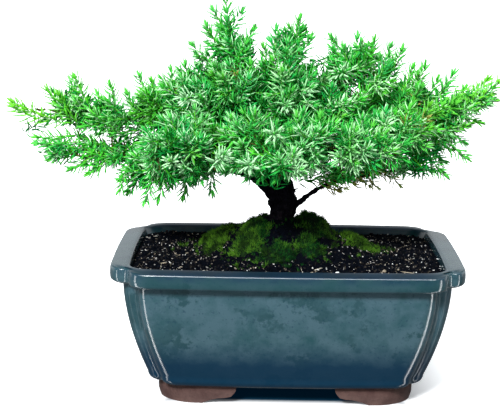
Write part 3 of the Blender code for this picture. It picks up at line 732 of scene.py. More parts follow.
@dataclass
class Copies:
    """Places of one stamp's copies, gathered until they become one piece."""

    stamp: Stamp
    at: list[Array] = field(default_factory=list)
    turned: list[Array] = field(default_factory=list)
    sized: list[Array] = field(default_factory=list)
    tints: list[Array] = field(default_factory=list)

    def add(self, at: Array, turned: Array, sized: Array, tints: Array) -> None:
        """Adds copies.

        Args:
            at: Origins, (n, 3).
            turned: Axes as columns, (n, 3, 3).
            sized: Size along each own axis, (n, 3).
            tints: Each copy's numbers, (n, any).
        """
        self.at.append(at)
        self.turned.append(turned)
        self.sized.append(sized)
        self.tints.append(tints)

    def build(self, name: str, paint: Callable[["Copies", Array], dict[str, Array]]) -> Piece:
        """Makes one mesh of all the copies.

        Args:
            name: The piece's name.
            paint: Gives each named colour attribute for the copies, as (copies, triangles, 3 corners, 3).

        Returns:
            The piece.
        """
        at, turned, sized = (np.concatenate(x) for x in (self.at, self.turned, self.sized))
        tints = np.concatenate(self.tints)
        count, width = len(at), len(self.stamp.points)
        local = self.stamp.points[None] * sized[:, None]
        points = np.einsum("nij,nkj->nki", turned, local) + at[:, None]
        faces = self.stamp.faces[None] + (np.arange(count) * width)[:, None, None]
        obj = triangle_mesh(name, points.reshape(-1, 3), faces.reshape(-1, 3))
        for key, values in paint(self, tints).items():
            write_colours(obj, key, values.reshape(-1, 3))
        return obj


def triangle_mesh(name: str, points: Array, faces: Array) -> Piece:
    """An object of triangles.

    Args:
        name: Its name.
        points: Vertices.
        faces: Vertex numbers, three to a face.

    Returns:
        The object, linked to the scene.
    """
    mesh = bpy.data.meshes.new(name)
    mesh.vertices.add(len(points))
    mesh.vertices.foreach_set("co", points.astype(np.float32).ravel())
    mesh.loops.add(faces.size)
    mesh.loops.foreach_set("vertex_index", faces.astype(np.int32).ravel())
    mesh.polygons.add(len(faces))
    mesh.polygons.foreach_set("loop_start", np.arange(0, faces.size, 3, dtype=np.int32))
    mesh.update(calc_edges=True)
    mesh.validate()
    obj = bpy.data.objects.new(name, mesh)
    bpy.context.scene.collection.objects.link(obj)
    return obj


def write_colours(obj: Piece, name: str, colours: Array) -> None:
    """Writes a colour attribute, one colour for each corner."""
    made = obj.data.color_attributes.new(name, "FLOAT_COLOR", "CORNER")
    full = np.concatenate([colours, np.ones((len(colours), 1))], axis=1)
    made.data.foreach_set("color", full.astype(np.float32).ravel())


def fill_colour(obj: Piece, name: str, colour: Colour) -> None:
    """Writes a colour attribute that is the same all over."""
    write_colours(obj, name, np.tile(np.array(colour), (len(obj.data.loops), 1)))


def unit(vectors: Array) -> Array:
    """Vectors at length 1."""
    return vectors / np.maximum(np.linalg.norm(vectors, axis=-1, keepdims=True), 1e-12)


def heading(turn: float, rise: float = 0.0) -> Array:
    """A direction in degrees from +X towards +Y, with its rise."""
    return np.array([math.cos(math.radians(turn)), math.sin(math.radians(turn)), rise])


def crossed(triangles: Array) -> Array:
    """Each triangle's normal, as long as twice its area."""
    return np.cross(triangles[:, 1] - triangles[:, 0], triangles[:, 2] - triangles[:, 0])


def tilt(triangles: Array) -> Array:
    """How far up each triangle looks."""
    return unit(crossed(triangles))[:, 2]


def axes_along(along: Array, towards: Array) -> Array:
    """Axes as columns, with Z along one direction and Y as near as possible to another."""
    z = unit(along)
    x = unit(np.cross(towards, z))
    return np.stack([x, np.cross(z, x), z], axis=-1)


def smooth_route(points: Sequence[Station], steps: int) -> Array:
    """A smooth curve through (x, y, z, radius) stations, with that many stretches between each two."""
    rows = np.array(points)
    rows = np.vstack([2 * rows[0] - rows[1], rows, 2 * rows[-1] - rows[-2]])
    found = []
    for a, b, c, d in zip(rows, rows[1:], rows[2:], rows[3:]):
        for t in np.arange(steps) / steps:
            bend = (c - a) * t + (2 * a - 5 * b + 4 * c - d) * t**2 + (3 * b - a - 3 * c + d) * t**3
            found.append(b + bend / 2)
    return np.array([*found, rows[-2]])


def scattered(triangles: Array, count: int, rng: np.random.Generator) -> tuple[Array, Array]:
    """Points spread evenly over triangles.

    Args:
        triangles: Corners, as (triangle, corner, xyz).
        count: How many points.
        rng: Source of chance.

    Returns:
        The points and the faces' normals there.
    """
    a, b, c = triangles[:, 0], triangles[:, 1], triangles[:, 2]
    cross = crossed(triangles)
    area = np.linalg.norm(cross, axis=1)
    chosen = rng.choice(len(triangles), count, p=area / area.sum())
    u, v = rng.random((2, count, 1))
    over = u + v > 1
    u, v = np.where(over, 1 - u, u), np.where(over, 1 - v, v)
    points = a[chosen] + (b[chosen] - a[chosen]) * u + (c[chosen] - a[chosen]) * v
    return points, unit(cross[chosen])


def thinned(points: Array, apart: float, taken: dict[tuple, list] | None = None) -> list[int]:
    """Thins points out, so that none is nearer than that to one before it.

    Args:
        points: The points.
        apart: The least distance between two.
        taken: Points already placed, by cell; new ones are added to it.

    Returns:
        Numbers of the points that are left.
    """
    cells = {} if taken is None else taken
    kept = []
    for k, point in enumerate(points):
        cell = tuple(int(v // apart) for v in point)
        near = [
            other
            for i in (-1, 0, 1)
            for j in (-1, 0, 1)
            for l in (-1, 0, 1)
            for other in cells.get((cell[0] + i, cell[1] + j, cell[2] + l), ())
        ]
        if all(math.dist(point, other) >= apart for other in near):
            cells.setdefault(cell, []).append(tuple(point))
            kept.append(k)
    return kept


# ------------------------------------------------------------------------------------------ the pot
@dataclass
class Pot:
    """The fired pot: a bowed rectangle with notched corners, an overhanging rim and bracket feet."""

    width: float = 0.2032
    depth: float = 0.146
    bow_x: float = 0.0015
    bow_y: float = 0.003
    notch: Pair = (0.012, 0.014)
    neck_notch: float = 0.78
    base_notch: float = 0.68
    hollow: float = 0.4
    shoulder: float = 0.9
    inside_corner: float = 0.012
    body_corner: float = 0.022
    rim_width: float = 0.0115
    rim_band: float = 0.0080
    rim_undercut: float = 0.0024
    overhang: float = 0.0072
    rim_edge: float = 0.0013
    rim_slope: float = 0.0006
    rim_bulge: float = 0.0002
    wall: float = 0.0055
    floor: float = 0.006
    taper: float = 0.0135
    taper_power: float = 1.7
    base_round: float = 0.0055
    floor_easing: tuple[Pair, ...] = ((0.0015, 0.0018), (0.0050, 0.0))
    foot_height: float = 0.0108
    foot_setback: float = 0.0004
    foot_thickness: float = 0.010
    foot_splay: float = 0.001
    foot_corner: float = 0.020
    foot_edge: float = 0.0008
    foot_overlap: float = 0.002
    front_gap: float = 0.029
    side_gap: float = 0.012
    drain_radius: float = 0.006
    drain_spacing: float = 0.076
    drill_margin: float = 0.008
    arch_below: float = 0.004
    arch_above: float = 0.006
    arch: tuple[Pair, ...] = (
        (0.0200, 0.00),
        (0.0155, 0.18),
        (0.0110, 0.30),
        (0.0065, 0.34),
        (0.0030, 0.42),
        (0.0010, 0.62),
        (0.0000, 0.80),
    )
    arc_steps: int = 9
    side_steps: int = 22
    datum: Datum = field(default_factory=Datum.of_pot)

    @property
    def neck_z(self) -> float:
        """Height at which the body meets the rim."""
        return self.datum.rim - self.rim_band - self.rim_undercut

    def arc(self, x: float, y: float, radii: Pair, start: float, end: float) -> Array:
        """Points on an elliptical arc between two angles in degrees."""
        turns = np.radians(np.linspace(start, end, self.arc_steps + 1))
        return np.stack([x + radii[0] * np.cos(turns), y + radii[1] * np.sin(turns)], axis=1)

    def corner(self, half_x: float, half_y: float, notch: float, radius: float) -> Array:
        """One corner of the outline: two shoulders with a hollow between, or one plain round.

        Args:
            half_x: Half the outline's width.
            half_y: Half its depth.
            notch: Size of the notch, as a share of the rim's; 0 gives the plain round.
            radius: Radius of the plain round.

        Returns:
            Its points, from the right side round to the rear.
        """
        if not notch:
            r = (radius, radius)
            whole = [self.arc(half_x - radius, half_y - radius, r, a, a + 30) for a in (0, 30, 60)]
            return np.concatenate([whole[0], whole[1][1:], whole[2][1:]])
        sx, sy = self.notch[0] * notch, self.notch[1] * notch
        in_x, in_y = half_x - sx, half_y - sy
        hx, hy = self.hollow * sx, self.hollow * sy
        side = (sx - hx, self.shoulder * sy)
        front = (self.shoulder * sx, sy - hy)
        return np.concatenate(
            [
                self.arc(half_x - side[0], in_y - side[1], side, 0, 90),
                self.arc(in_x + hx, in_y + hy, (hx, hy), -90, -180)[1:],
                self.arc(in_x - front[0], half_y - front[1], front, 0, 90)[1:],
            ]
        )

    def outline(self, inset: float, notch: float = 0.0, radius: float = 0.0) -> Array:
        """The plan outline, anticlockwise.

        Args:
            inset: How far inside the rim's edge it runs.
            notch: Size of its notches, as a share of the rim's.
            radius: Radius of its corners where they have no notch.

        Returns:
            Its points.
        """
        half = np.array([self.width / 2 - inset, self.depth / 2 - inset])
        corner = self.corner(*half, notch, radius)
        runs = [corner, corner[::-1] * (-1, 1), -corner, corner[::-1] * (1, -1)]
        shares = np.linspace(0, 1, self.side_steps + 1)[1:-1, None]
        points = []
        for run, following in zip(runs, runs[1:] + runs[:1]):
            points += [run, run[-1] + (following[0] - run[-1]) * shares]
        flat = np.concatenate(points)
        across = 1 - (flat / half) ** 2
        bulge = np.stack([self.bow_x / half[0] * across[:, 1], self.bow_y / half[1] * across[:, 0]], axis=1)
        return flat * (1 + bulge)

    def side_inset(self, z: float) -> float:
        """How far the body lies inside the rim's edge at a height."""
        foot = self.foot_height + self.base_round
        down = min(max((self.neck_z - z) / (self.neck_z - foot), 0.0), 1.0)
        return self.overhang + self.taper * down**self.taper_power

    def outer_levels(self) -> list[tuple[float, float, float]]:
        """(inset, height, notch) of the outer face, from the underside to the top of the rim."""
        foot_z, rim = self.foot_height + self.base_round, self.datum.rim
        levels = []
        for turn in np.radians(np.linspace(90, 12, 7)):
            inset = self.overhang + self.taper + self.base_round * (1 - math.cos(turn))
            levels.append((inset, foot_z - self.base_round * math.sin(turn), self.base_notch))
        for share in np.linspace(0, 1, 26):
            z = foot_z + (self.neck_z - foot_z) * share
            notch = self.base_notch + (self.neck_notch - self.base_notch) * share
            levels.append((self.side_inset(z), z, notch))
        for turn in np.radians(np.linspace(75, 0, 7)):
            curl = 1 - math.cos(turn)
            z = self.neck_z + self.rim_undercut * (1 - math.sin(turn))
            levels.append((self.overhang * curl, z, 1 - (1 - self.neck_notch) * curl))
        edge_z = rim - self.rim_slope
        rise = edge_z - self.rim_edge - self.neck_z - self.rim_undercut
        for share in (0.35, 0.70):
            z = self.neck_z + self.rim_undercut + rise * share
            levels.append((-self.rim_bulge * math.sin(math.pi * share), z, 1.0))
        for turn in np.radians(np.linspace(0, 82, 7)):
            z = edge_z - self.rim_edge * (1 - math.sin(turn))
            levels.append((self.rim_edge * (1 - math.cos(turn)), z, 1.0))
        return levels

    def top_rings(self) -> list[Array]:
        """The rim's top, sloping gently outwards while its plan turns from notched to plain."""
        start, end = self.rim_edge * 1.1, self.rim_width - self.rim_edge
        rings = []
        for share in np.linspace(0, 1, 8)[:-1]:
            notched = self.outline(start + (end - start) * share, 1 - 0.25 * share)
            plain = self.outline(start + (end - start) * share, radius=self.inside_corner)
            blend = share * share * (3 - 2 * share)
            rings.append(self.ring(notched * (1 - blend) + plain * blend, self.rim_z(1 - share)))
        return rings

    def rim_z(self, out: float) -> float:
        """Height of the rim's top at a share of the way from its inner edge to its outer one."""
        return self.datum.rim - self.rim_slope * out**2

    def inner_levels(self) -> list[tuple[float, float, float]]:
        """(inset, height, corner radius) of the inside, from the top of the rim down to the floor."""
        rim, low = self.datum.rim, self.foot_height + self.floor
        levels = []
        for turn in np.radians(np.linspace(90, 0, 5)):
            z = rim - self.rim_edge * (1 - math.sin(turn))
            levels.append((self.rim_width - self.rim_edge * (1 - math.cos(turn)), z, self.inside_corner))
        foot_z = low + self.base_round
        for share in np.linspace(1, 0, 9):
            z = foot_z + (self.neck_z - foot_z) * share
            levels.append((self.side_inset(z) + self.wall, z, self.body_corner))
        inset = self.side_inset(foot_z) + self.wall
        levels += [(inset + out, low + up, self.body_corner) for out, up in self.floor_easing]
        return levels

    def feet(self) -> Piece:
        """The four bracket feet, as a skirt cut by an arch through each side."""
        inset = self.overhang + self.taper + self.base_round + self.foot_setback
        top = self.foot_height + self.foot_overlap
        outer = [(inset + self.foot_splay, 0.0), (inset + self.foot_splay, self.foot_edge)]
        outer += [(inset + 0.25 * self.foot_splay, self.foot_height * 0.35), (inset, top)]
        inner = [(inset + self.foot_thickness, top), (inset + self.foot_thickness, 0.0)]
        inner_corner = self.foot_corner - self.foot_thickness
        rings = [self.ring(self.outline(i, radius=self.foot_corner), z) for i, z in outer]
        rings += [self.ring(self.outline(i, radius=inner_corner), z) for i, z in inner]
        rings.append(rings[0])
        skirt = Bench.wrap("feet", self.datum.from_floor(np.array(rings)))
        for gap, length, turned in ((self.front_gap, self.depth, False), (self.side_gap, self.width, True)):
            cutter = self.arch_cutter(gap, length, turned)
            Bench.apply(skirt, "BOOLEAN", object=cutter, operation="DIFFERENCE", solver="EXACT")
            Bench.discard(cutter)
        return skirt

    def ring(self, outline: Array, z: float) -> Array:
        """An outline at a height."""
        return np.column_stack([outline, np.full(len(outline), z)])

    def arch_cutter(self, gap: float, length: float, turned: bool) -> Piece:
        """The bracket-shaped opening between two feet, as a long bar."""
        right = [(gap + self.arch[0][0], -self.arch_below)]
        right += [(gap + out, self.foot_height * share) for out, share in self.arch]
        right.append((gap, self.foot_height + self.arch_above))
        profile = np.array(right + [(-x, z) for x, z in reversed(right)])
        rows = np.array([np.insert(profile, 1, y, axis=1) for y in (length, -length)])
        if turned:
            rows = rows[..., [1, 0, 2]]
        return Bench.wrap("arch", self.datum.from_floor(rows))

    def build(self) -> Piece:
        """Builds and dresses the pot.

        Returns:
            The piece.
        """
        rings = [self.ring(self.outline(inset, notch), z) for inset, z, notch in self.outer_levels()]
        rings += self.top_rings()
        for inset, z, radius in self.inner_levels():
            rings.append(self.ring(self.outline(inset, radius=radius), z))
        pot = Bench.wrap("glazed_pot", self.datum.from_floor(np.array(rings)))
        feet = self.feet()
        Bench.apply(pot, "BOOLEAN", object=feet, operation="UNION", solver="EXACT")
        Bench.discard(feet)
        depth = self.floor + self.drill_margin
        for side in (-1, 1):
            x = self.datum.x + side * self.drain_spacing / 2
            drill = Bench.start(
                bpy.ops.mesh.primitive_cylinder_add,
                vertices=40,
                radius=self.drain_radius,
                depth=depth,
                location=(x, self.datum.y, self.foot_height + self.floor / 2),
            )
            Bench.apply(pot, "BOOLEAN", object=drill, operation="DIFFERENCE", solver="EXACT")
            Bench.discard(drill)
        return Bench.dress(pot, Glaze().material(self.datum.rim), Slot.GLAZE, ["pot"], 32)


# ------------------------------------------------------------------------------------------ soil and moss
@dataclass
class Bed:
    """The heaped potting mix with its crumbs, bark, perlite and rootlets."""

    relief: float = 0.0011
    edge_depth: float = 0.0062
    edge_fade: float = 0.004
    steepest: float = 0.3
    bare_reach: float = 0.040
    own_grain: Colour = (0.30, 0.35, 0.0)
    # each kind of crumb: its name, how many, their sizes, their tones, and their shape
    kinds: tuple[tuple[str, int, Pair, Pair, Point], ...] = (
        ("soil_crumbs", 6600, (0.0006, 0.0017), (0.00, 0.64), (1.0, 1.0, 0.8)),
        ("bark_chips", 1500, (0.0006, 0.0015), (0.60, 0.95), (1.8, 0.7, 0.35)),
        ("rootlets", 900, (0.0004, 0.0008), (0.60, 0.95), (5.5, 0.40, 0.35)),
        ("perlite", 420, (0.0003, 0.0011), (0.93, 1.00), (1.0, 1.0, 0.8)),
    )
    # each straw: its place from the pot's middle, its direction in degrees, its length, width and tone
    straws: tuple[tuple[float, float, float, float, float, float], ...] = (
        (0.0185, -0.045, 38, 0.0085, 0.0011, 0.88),
        (0.0150, -0.050, 8, 0.0060, 0.0010, 0.86),
        (0.0300, -0.052, 20, 0.0030, 0.0024, 1.00),
        (0.0560, -0.044, 65, 0.0050, 0.0028, 0.82),
        (-0.0250, -0.052, 80, 0.0045, 0.0016, 0.88),
        (0.0700, -0.046, 170, 0.0120, 0.0008, 0.84),
        (-0.0720, -0.030, 15, 0.0050, 0.0014, 0.84),
        (0.0620, 0.010, 120, 0.0050, 0.0010, 0.86),
    )
    rng: np.random.Generator = field(default_factory=lambda: np.random.default_rng(11))
    datum: Datum = field(default_factory=Datum.of_pot)

    @property
    def level(self) -> float:
        """Height of the soil's edge against the pot."""
        return self.datum.rim - self.edge_depth

    def crumb(self) -> Stamp:
        """One angular crumb."""
        obj = Bench.start(bpy.ops.mesh.primitive_ico_sphere_add, subdivisions=1, radius=1.0)
        with Bench.editing(obj):
            bpy.ops.transform.vertex_random(offset=0.28, seed=3)
        return Stamp.from_object(obj)

    def surface(self) -> Piece:
        """The soil itself, with its top broken up into lumps."""
        soil = Bench.copy_of("soil", "potting_mix")
        level, steepest = self.level, self.steepest
        with Bench.editing(soil):
            Bench.pick_faces(soil, lambda f: f.normal.z > steepest and f.calc_center_median().z > level)
            bpy.ops.mesh.subdivide(number_cuts=5)
            bpy.ops.mesh.select_all(action="SELECT")
            bpy.ops.mesh.quads_convert_to_tris()
        points = Bench.points(soil)
        low, high = points.min(0), points.max(0)
        for k, p in enumerate(points):
            if p[2] < level:
                continue
            room = min(p[0] - low[0], high[0] - p[0], p[1] - low[1], high[1] - p[1]) / self.edge_fade
            lump = noise.fractal(Vector(p) * 420.0, 0.9, 2.1, 4)
            points[k, 2] += self.relief * lump * min(max(room, 0.0), 1.0)
        Bench.place(soil, points)
        return soil

    def build(self) -> None:
        """Builds and dresses the soil and what lies on it."""
        finish = Grit().material()
        soil = self.surface()
        triangles = Bench.triangles(soil)
        fill_colour(soil, "grain", self.own_grain)
        tops = triangles[(triangles[:, :, 2].min(1) > self.level) & (tilt(triangles) > self.steepest)]
        Bench.dress(soil, finish, Slot.SOIL, ["soil"], 50)
        stamp = self.crumb()
        foot = self.datum.from_heap(np.array(TRUNK[0][:3]))
        for name, count, sizes, tones, shape in self.kinds:
            copies = Copies(stamp)
            at, normal = scattered(tops, count, self.rng)
            if name != "soil_crumbs":
                away = (((at - foot)[:, :2] / self.bare_reach) ** 2).sum(1)
                clear = away > self.rng.uniform(0.5, 1.3, count)
                at, normal, count = at[clear], normal[clear], int(clear.sum())
            size = self.rng.uniform(*sizes, (count, 1))
            sized = size * np.array(shape) * self.rng.uniform(0.6, 1.3, (count, 3)) * 0.6
            lean = unit(normal + self.rng.normal(0, 0.45, (count, 3)))
            turned = axes_along(lean, self.rng.normal(size=(count, 3)))
            tints = np.column_stack([self.rng.uniform(*tones, count), self.rng.random(count)])
            copies.add(at + normal * sized[:, 2:] * 0.35, turned, sized, tints)
            Bench.dress(copies.build(name, self.paint), finish, Slot.SOIL, angle=0)
        self.build_straws(stamp, tops, finish)

    def build_straws(self, stamp: Stamp, tops: Array, finish: Finish) -> None:
        """Lays the few larger straws and flakes on the soil.

        Args:
            stamp: One crumb.
            tops: The soil's upper triangles.
            finish: The soil's finish.
        """
        middles = tops.mean(axis=1)
        copies = Copies(stamp)
        for x, y, turn, length, width, tone in self.straws:
            k = int(np.linalg.norm(middles[:, :2] - (self.datum.x + x, self.datum.y + y), axis=1).argmin())
            turned = axes_along(heading(turn, 0.10)[None], UP[None])
            sized = np.array([[width / 2, width / 3, length / 2]])
            copies.add(middles[k : k + 1] + UP * (width / 3), turned, sized, np.array([[tone, 0.8]]))
        Bench.dress(copies.build("straws", self.paint), finish, Slot.SOIL, angle=0)

    @staticmethod
    def paint(copies: Copies, tints: Array) -> dict[str, Array]:
        """Each crumb's tone and shade on all its corners."""
        each = np.column_stack([tints, np.zeros(len(tints))])
        return {"grain": np.repeat(each, len(copies.stamp.faces) * 3, axis=0)}


@dataclass
class MossBank:
    """Cushions of moss and the stray tufts between them: short leaves in sprigs over a lumpy base."""

    spacing: float = 0.0014
    leaf: float = 0.0031
    sprig: int = 11
    strays: int = 900
    reach: float = 1.75
    lump: float = 0.0017
    lowered: float = 0.0009
    rooted: float = 0.0007
    slimness: float = 0.17
    shaded_base_growth: Colour = (0.08, 0.3, 0.0)
    rng: np.random.Generator = field(default_factory=lambda: np.random.default_rng(23))

    def leaf_stamp(self) -> Stamp:
        """One pointed leaf, standing on its base along +Z."""
        cone = bpy.ops.mesh.primitive_cone_add
        obj = Bench.start(cone, vertices=3, radius1=0.5, radius2=0.0, depth=1.0, location=(0, 0, 0.5))
        bpy.ops.object.transform_apply(location=True, rotation=True, scale=True)
        return Stamp.from_object(obj, bend=0.5)

    def cushion(self, node: str) -> Piece:
        """The lumpy base of one cushion, a little lower than its leaves."""
        base = Bench.copy_of(node, f"{node}_cushion")
        with Bench.editing(base):
            bpy.ops.mesh.subdivide(number_cuts=2)
        points = Bench.points(base)
        low = points[:, 2].min()
        for k, p in enumerate(points):
            lump = noise.fractal(Vector(p) * 210.0, 0.8, 2.0, 4)
            points[k, 2] = max(p[2] - self.lowered + self.lump * lump, low)
        Bench.place(base, points)
        return base

    def sprigs(self, name: str, stamp: Stamp, at: Array, normal: Array) -> Piece:
        """Sprigs of leaves at places with those normals.

        Args:
            name: The piece's name.
            stamp: One leaf.
            at: The places.
            normal: The ground's normals there.

        Returns:
            The sprigs.
        """
        swell = np.array([noise.noise(Vector(p) * 190.0) for p in at])[:, None]
        heart = unit(normal * 0.7 + UP * 0.7 + self.rng.normal(0, 0.22, at.shape))
        at, heart, swell = (np.repeat(x, self.sprig, axis=0) for x in (at, heart, swell))
        count = len(at)
        lean = unit(heart + self.rng.normal(0, 0.42, (count, 3)))
        length = self.leaf * self.rng.uniform(0.45, 1.10, (count, 1)) * (1.0 + 0.9 * swell)
        sized = np.concatenate([length * self.slimness, length * self.slimness, length], axis=1)
        tints = np.clip(self.rng.normal(0.42, 0.20, (count, 1)) + swell * 0.7, 0, 1)
        copies = Copies(stamp)
        turned = axes_along(lean, self.rng.normal(size=(count, 3)))
        copies.add(at + self.rng.normal(0, 0.0003, (count, 3)) - UP * self.rooted, turned, sized, tints)
        return copies.build(name, self.paint)

    def build(self) -> None:
        """Builds and dresses every cushion and the strays."""
        finish = Fuzz().material()
        stamp = self.leaf_stamp()
        nodes = sorted(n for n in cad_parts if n.startswith("moss_"))
        for node in nodes:
            base = self.cushion(node)
            triangles = Bench.triangles(base)
            tops = triangles[tilt(triangles) > -0.05]
            area = np.linalg.norm(crossed(tops), axis=1).sum() / 2
            at, normal = scattered(tops, int(1.6 * area / self.spacing**2), self.rng)
            kept = thinned(at, self.spacing * 0.7)
            leaves = self.sprigs(f"{node}_leaves", stamp, at[kept], normal[kept])
            # The cushion under the leaves is painted with the shade colour of the leaves' bases.
            fill_colour(base, "growth", self.shaded_base_growth)
            Bench.dress(Bench.join(leaves, base), finish, Slot.MOSS, [node], 0)
        soil = Bench.triangles(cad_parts["soil"])
        tops = soil[tilt(soil) > 0.4]
        at, normal = scattered(tops, self.strays * 12, self.rng)
        density = np.zeros(len(at))
        for node in nodes:
            low, high = (np.array(corner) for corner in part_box(node))
            away = (at - (low + high) / 2) / ((high - low) / 2 * self.reach)
            density = np.maximum(density, np.exp(-2.2 * (away[:, :2] ** 2).sum(1)))
        patchy = np.array([noise.noise(Vector(p) * 150.0) for p in at])
        kept = np.flatnonzero(self.rng.random(len(at)) < density * (patchy > -0.15))[: self.strays]
        strays = self.sprigs("moss_strays", stamp, at[kept], normal[kept])
        Bench.dress(strays, finish, Slot.MOSS, angle=0)

    @staticmethod
    def paint(copies: Copies, tints: Array) -> dict[str, Array]:
        """How far up its leaf each corner is, and the leaf's tint."""
        up = copies.stamp.points[copies.stamp.faces][:, :, 2]
        made = np.zeros((len(tints), *up.shape, 3))
        made[..., 0] = up[None]
        made[..., 1] = tints[:, :, None]
        return {"growth": made}


# ------------------------------------------------------------------------------------------ wood
TRUNK: tuple[Station, ...] = (
    (-0.0030, 0.000, -0.0191, 0.0105),
    (-0.0030, 0.000, -0.0081, 0.0080),
    (-0.0035, 0.000, 0.0009, 0.0057),
    (-0.0025, 0.001, 0.0069, 0.0068),
    (-0.0035, 0.001, 0.0129, 0.0076),
    (-0.0060, 0.001, 0.0199, 0.0074),
    (-0.0110, 0.002, 0.0319, 0.0054),
    (-0.0180, 0.003, 0.0479, 0.0040),
    (-0.0280, 0.004, 0.0669, 0.0030),
    (-0.0360, 0.004, 0.0889, 0.0020),
    (-0.0390, 0.004, 0.1089, 0.0012),
)
LIMBS: dict[str, tuple[Station, ...]] = {
    "limb_left_low": (
        (-0.0040, 0.000, 0.0089, 0.0050),
        (-0.0125, -0.002, 0.0194, 0.0047),
        (-0.0220, -0.005, 0.0274, 0.0041),
        (-0.040, -0.009, 0.0319, 0.0033),
        (-0.064, -0.010, 0.0339, 0.0026),
        (-0.095, -0.008, 0.0349, 0.0020),
        (-0.122, -0.008, 0.0369, 0.0014),
        (-0.138, -0.008, 0.0399, 0.0010),
    ),
    "limb_left_high": (
        (-0.010, 0.002, 0.0309, 0.0040),
        (-0.028, 0.006, 0.0439, 0.0034),
        (-0.055, 0.006, 0.0529, 0.0027),
        (-0.085, 0.004, 0.0579, 0.0020),
        (-0.112, 0.002, 0.0589, 0.0015),
        (-0.132, 0.001, 0.0609, 0.0011),
        (-0.146, 0.001, 0.0639, 0.0009),
    ),
    "limb_right_low": (
        (-0.001, 0.000, 0.0039, 0.0030),
        (0.0070, -0.001, 0.0094, 0.0021),
        (0.0140, -0.001, 0.0154, 0.0017),
        (0.0225, 0.000, 0.0199, 0.0015),
        (0.034, 0.001, 0.0244, 0.0014),
        (0.052, -0.002, 0.0279, 0.0013),
        (0.068, -0.010, 0.0319, 0.0011),
        (0.080, -0.015, 0.0349, 0.0009),
    ),
    "limb_right_high": (
        (-0.007, 0.001, 0.0229, 0.0044),
        (0.010, 0.001, 0.0349, 0.0036),
        (0.032, 0.000, 0.0469, 0.0029),
        (0.058, -0.003, 0.0559, 0.0022),
        (0.084, -0.002, 0.0629, 0.0016),
        (0.104, 0.000, 0.0689, 0.0012),
        (0.116, 0.000, 0.0719, 0.0009),
    ),
    "limb_crest": (
        (-0.015, 0.003, 0.0429, 0.0030),
        (-0.007, 0.008, 0.0569, 0.0024),
        (-0.001, 0.010, 0.0749, 0.0019),
        (0.001, 0.009, 0.0929, 0.0013),
        (0.002, 0.008, 0.1049, 0.0009),
    ),
    "limb_shoulder": (
        (-0.008, 0.005, 0.0269, 0.0032),
        (0.008, 0.012, 0.0469, 0.0027),
        (0.024, 0.015, 0.0649, 0.0021),
        (0.036, 0.012, 0.0809, 0.0015),
        (0.044, 0.010, 0.0909, 0.0010),
    ),
    "limb_front": (
        (-0.005, -0.001, 0.0199, 0.0036),
        (-0.008, -0.016, 0.0289, 0.0029),
        (-0.008, -0.036, 0.0369, 0.0023),
        (-0.005, -0.056, 0.0409, 0.0016),
        (-0.004, -0.072, 0.0399, 0.0010),
    ),
    "limb_front_left": (
        (-0.008, -0.001, 0.0269, 0.0032),
        (-0.024, -0.018, 0.0409, 0.0026),
        (-0.044, -0.034, 0.0489, 0.0020),
        (-0.064, -0.048, 0.0509, 0.0013),
        (-0.076, -0.055, 0.0509, 0.0009),
    ),
    "limb_front_right": (
        (-0.006, -0.001, 0.0249, 0.0030),
        (0.010, -0.018, 0.0399, 0.0024),
        (0.030, -0.034, 0.0469, 0.0018),
        (0.048, -0.046, 0.0489, 0.0012),
        (0.058, -0.052, 0.0489, 0.0009),
    ),
    "limb_rear": (
        (-0.006, 0.004, 0.0219, 0.0038),
        (-0.008, 0.022, 0.0349, 0.0031),
        (-0.010, 0.044, 0.0469, 0.0023),
        (-0.008, 0.064, 0.0509, 0.0016),
        (-0.006, 0.082, 0.0499, 0.0010),
    ),
    "limb_rear_left": (
        (-0.010, 0.005, 0.0349, 0.0030),
        (-0.026, 0.022, 0.0499, 0.0024),
        (-0.048, 0.038, 0.0569, 0.0017),
        (-0.070, 0.048, 0.0579, 0.0011),
        (-0.080, 0.050, 0.0579, 0.0009),
    ),
    "limb_rear_right": (
        (-0.006, 0.006, 0.0269, 0.0030),
        (0.014, 0.026, 0.0449, 0.0024),
        (0.038, 0.040, 0.0539, 0.0018),
        (0.062, 0.046, 0.0569, 0.0012),
        (0.074, 0.048, 0.0569, 0.0009),
    ),
}


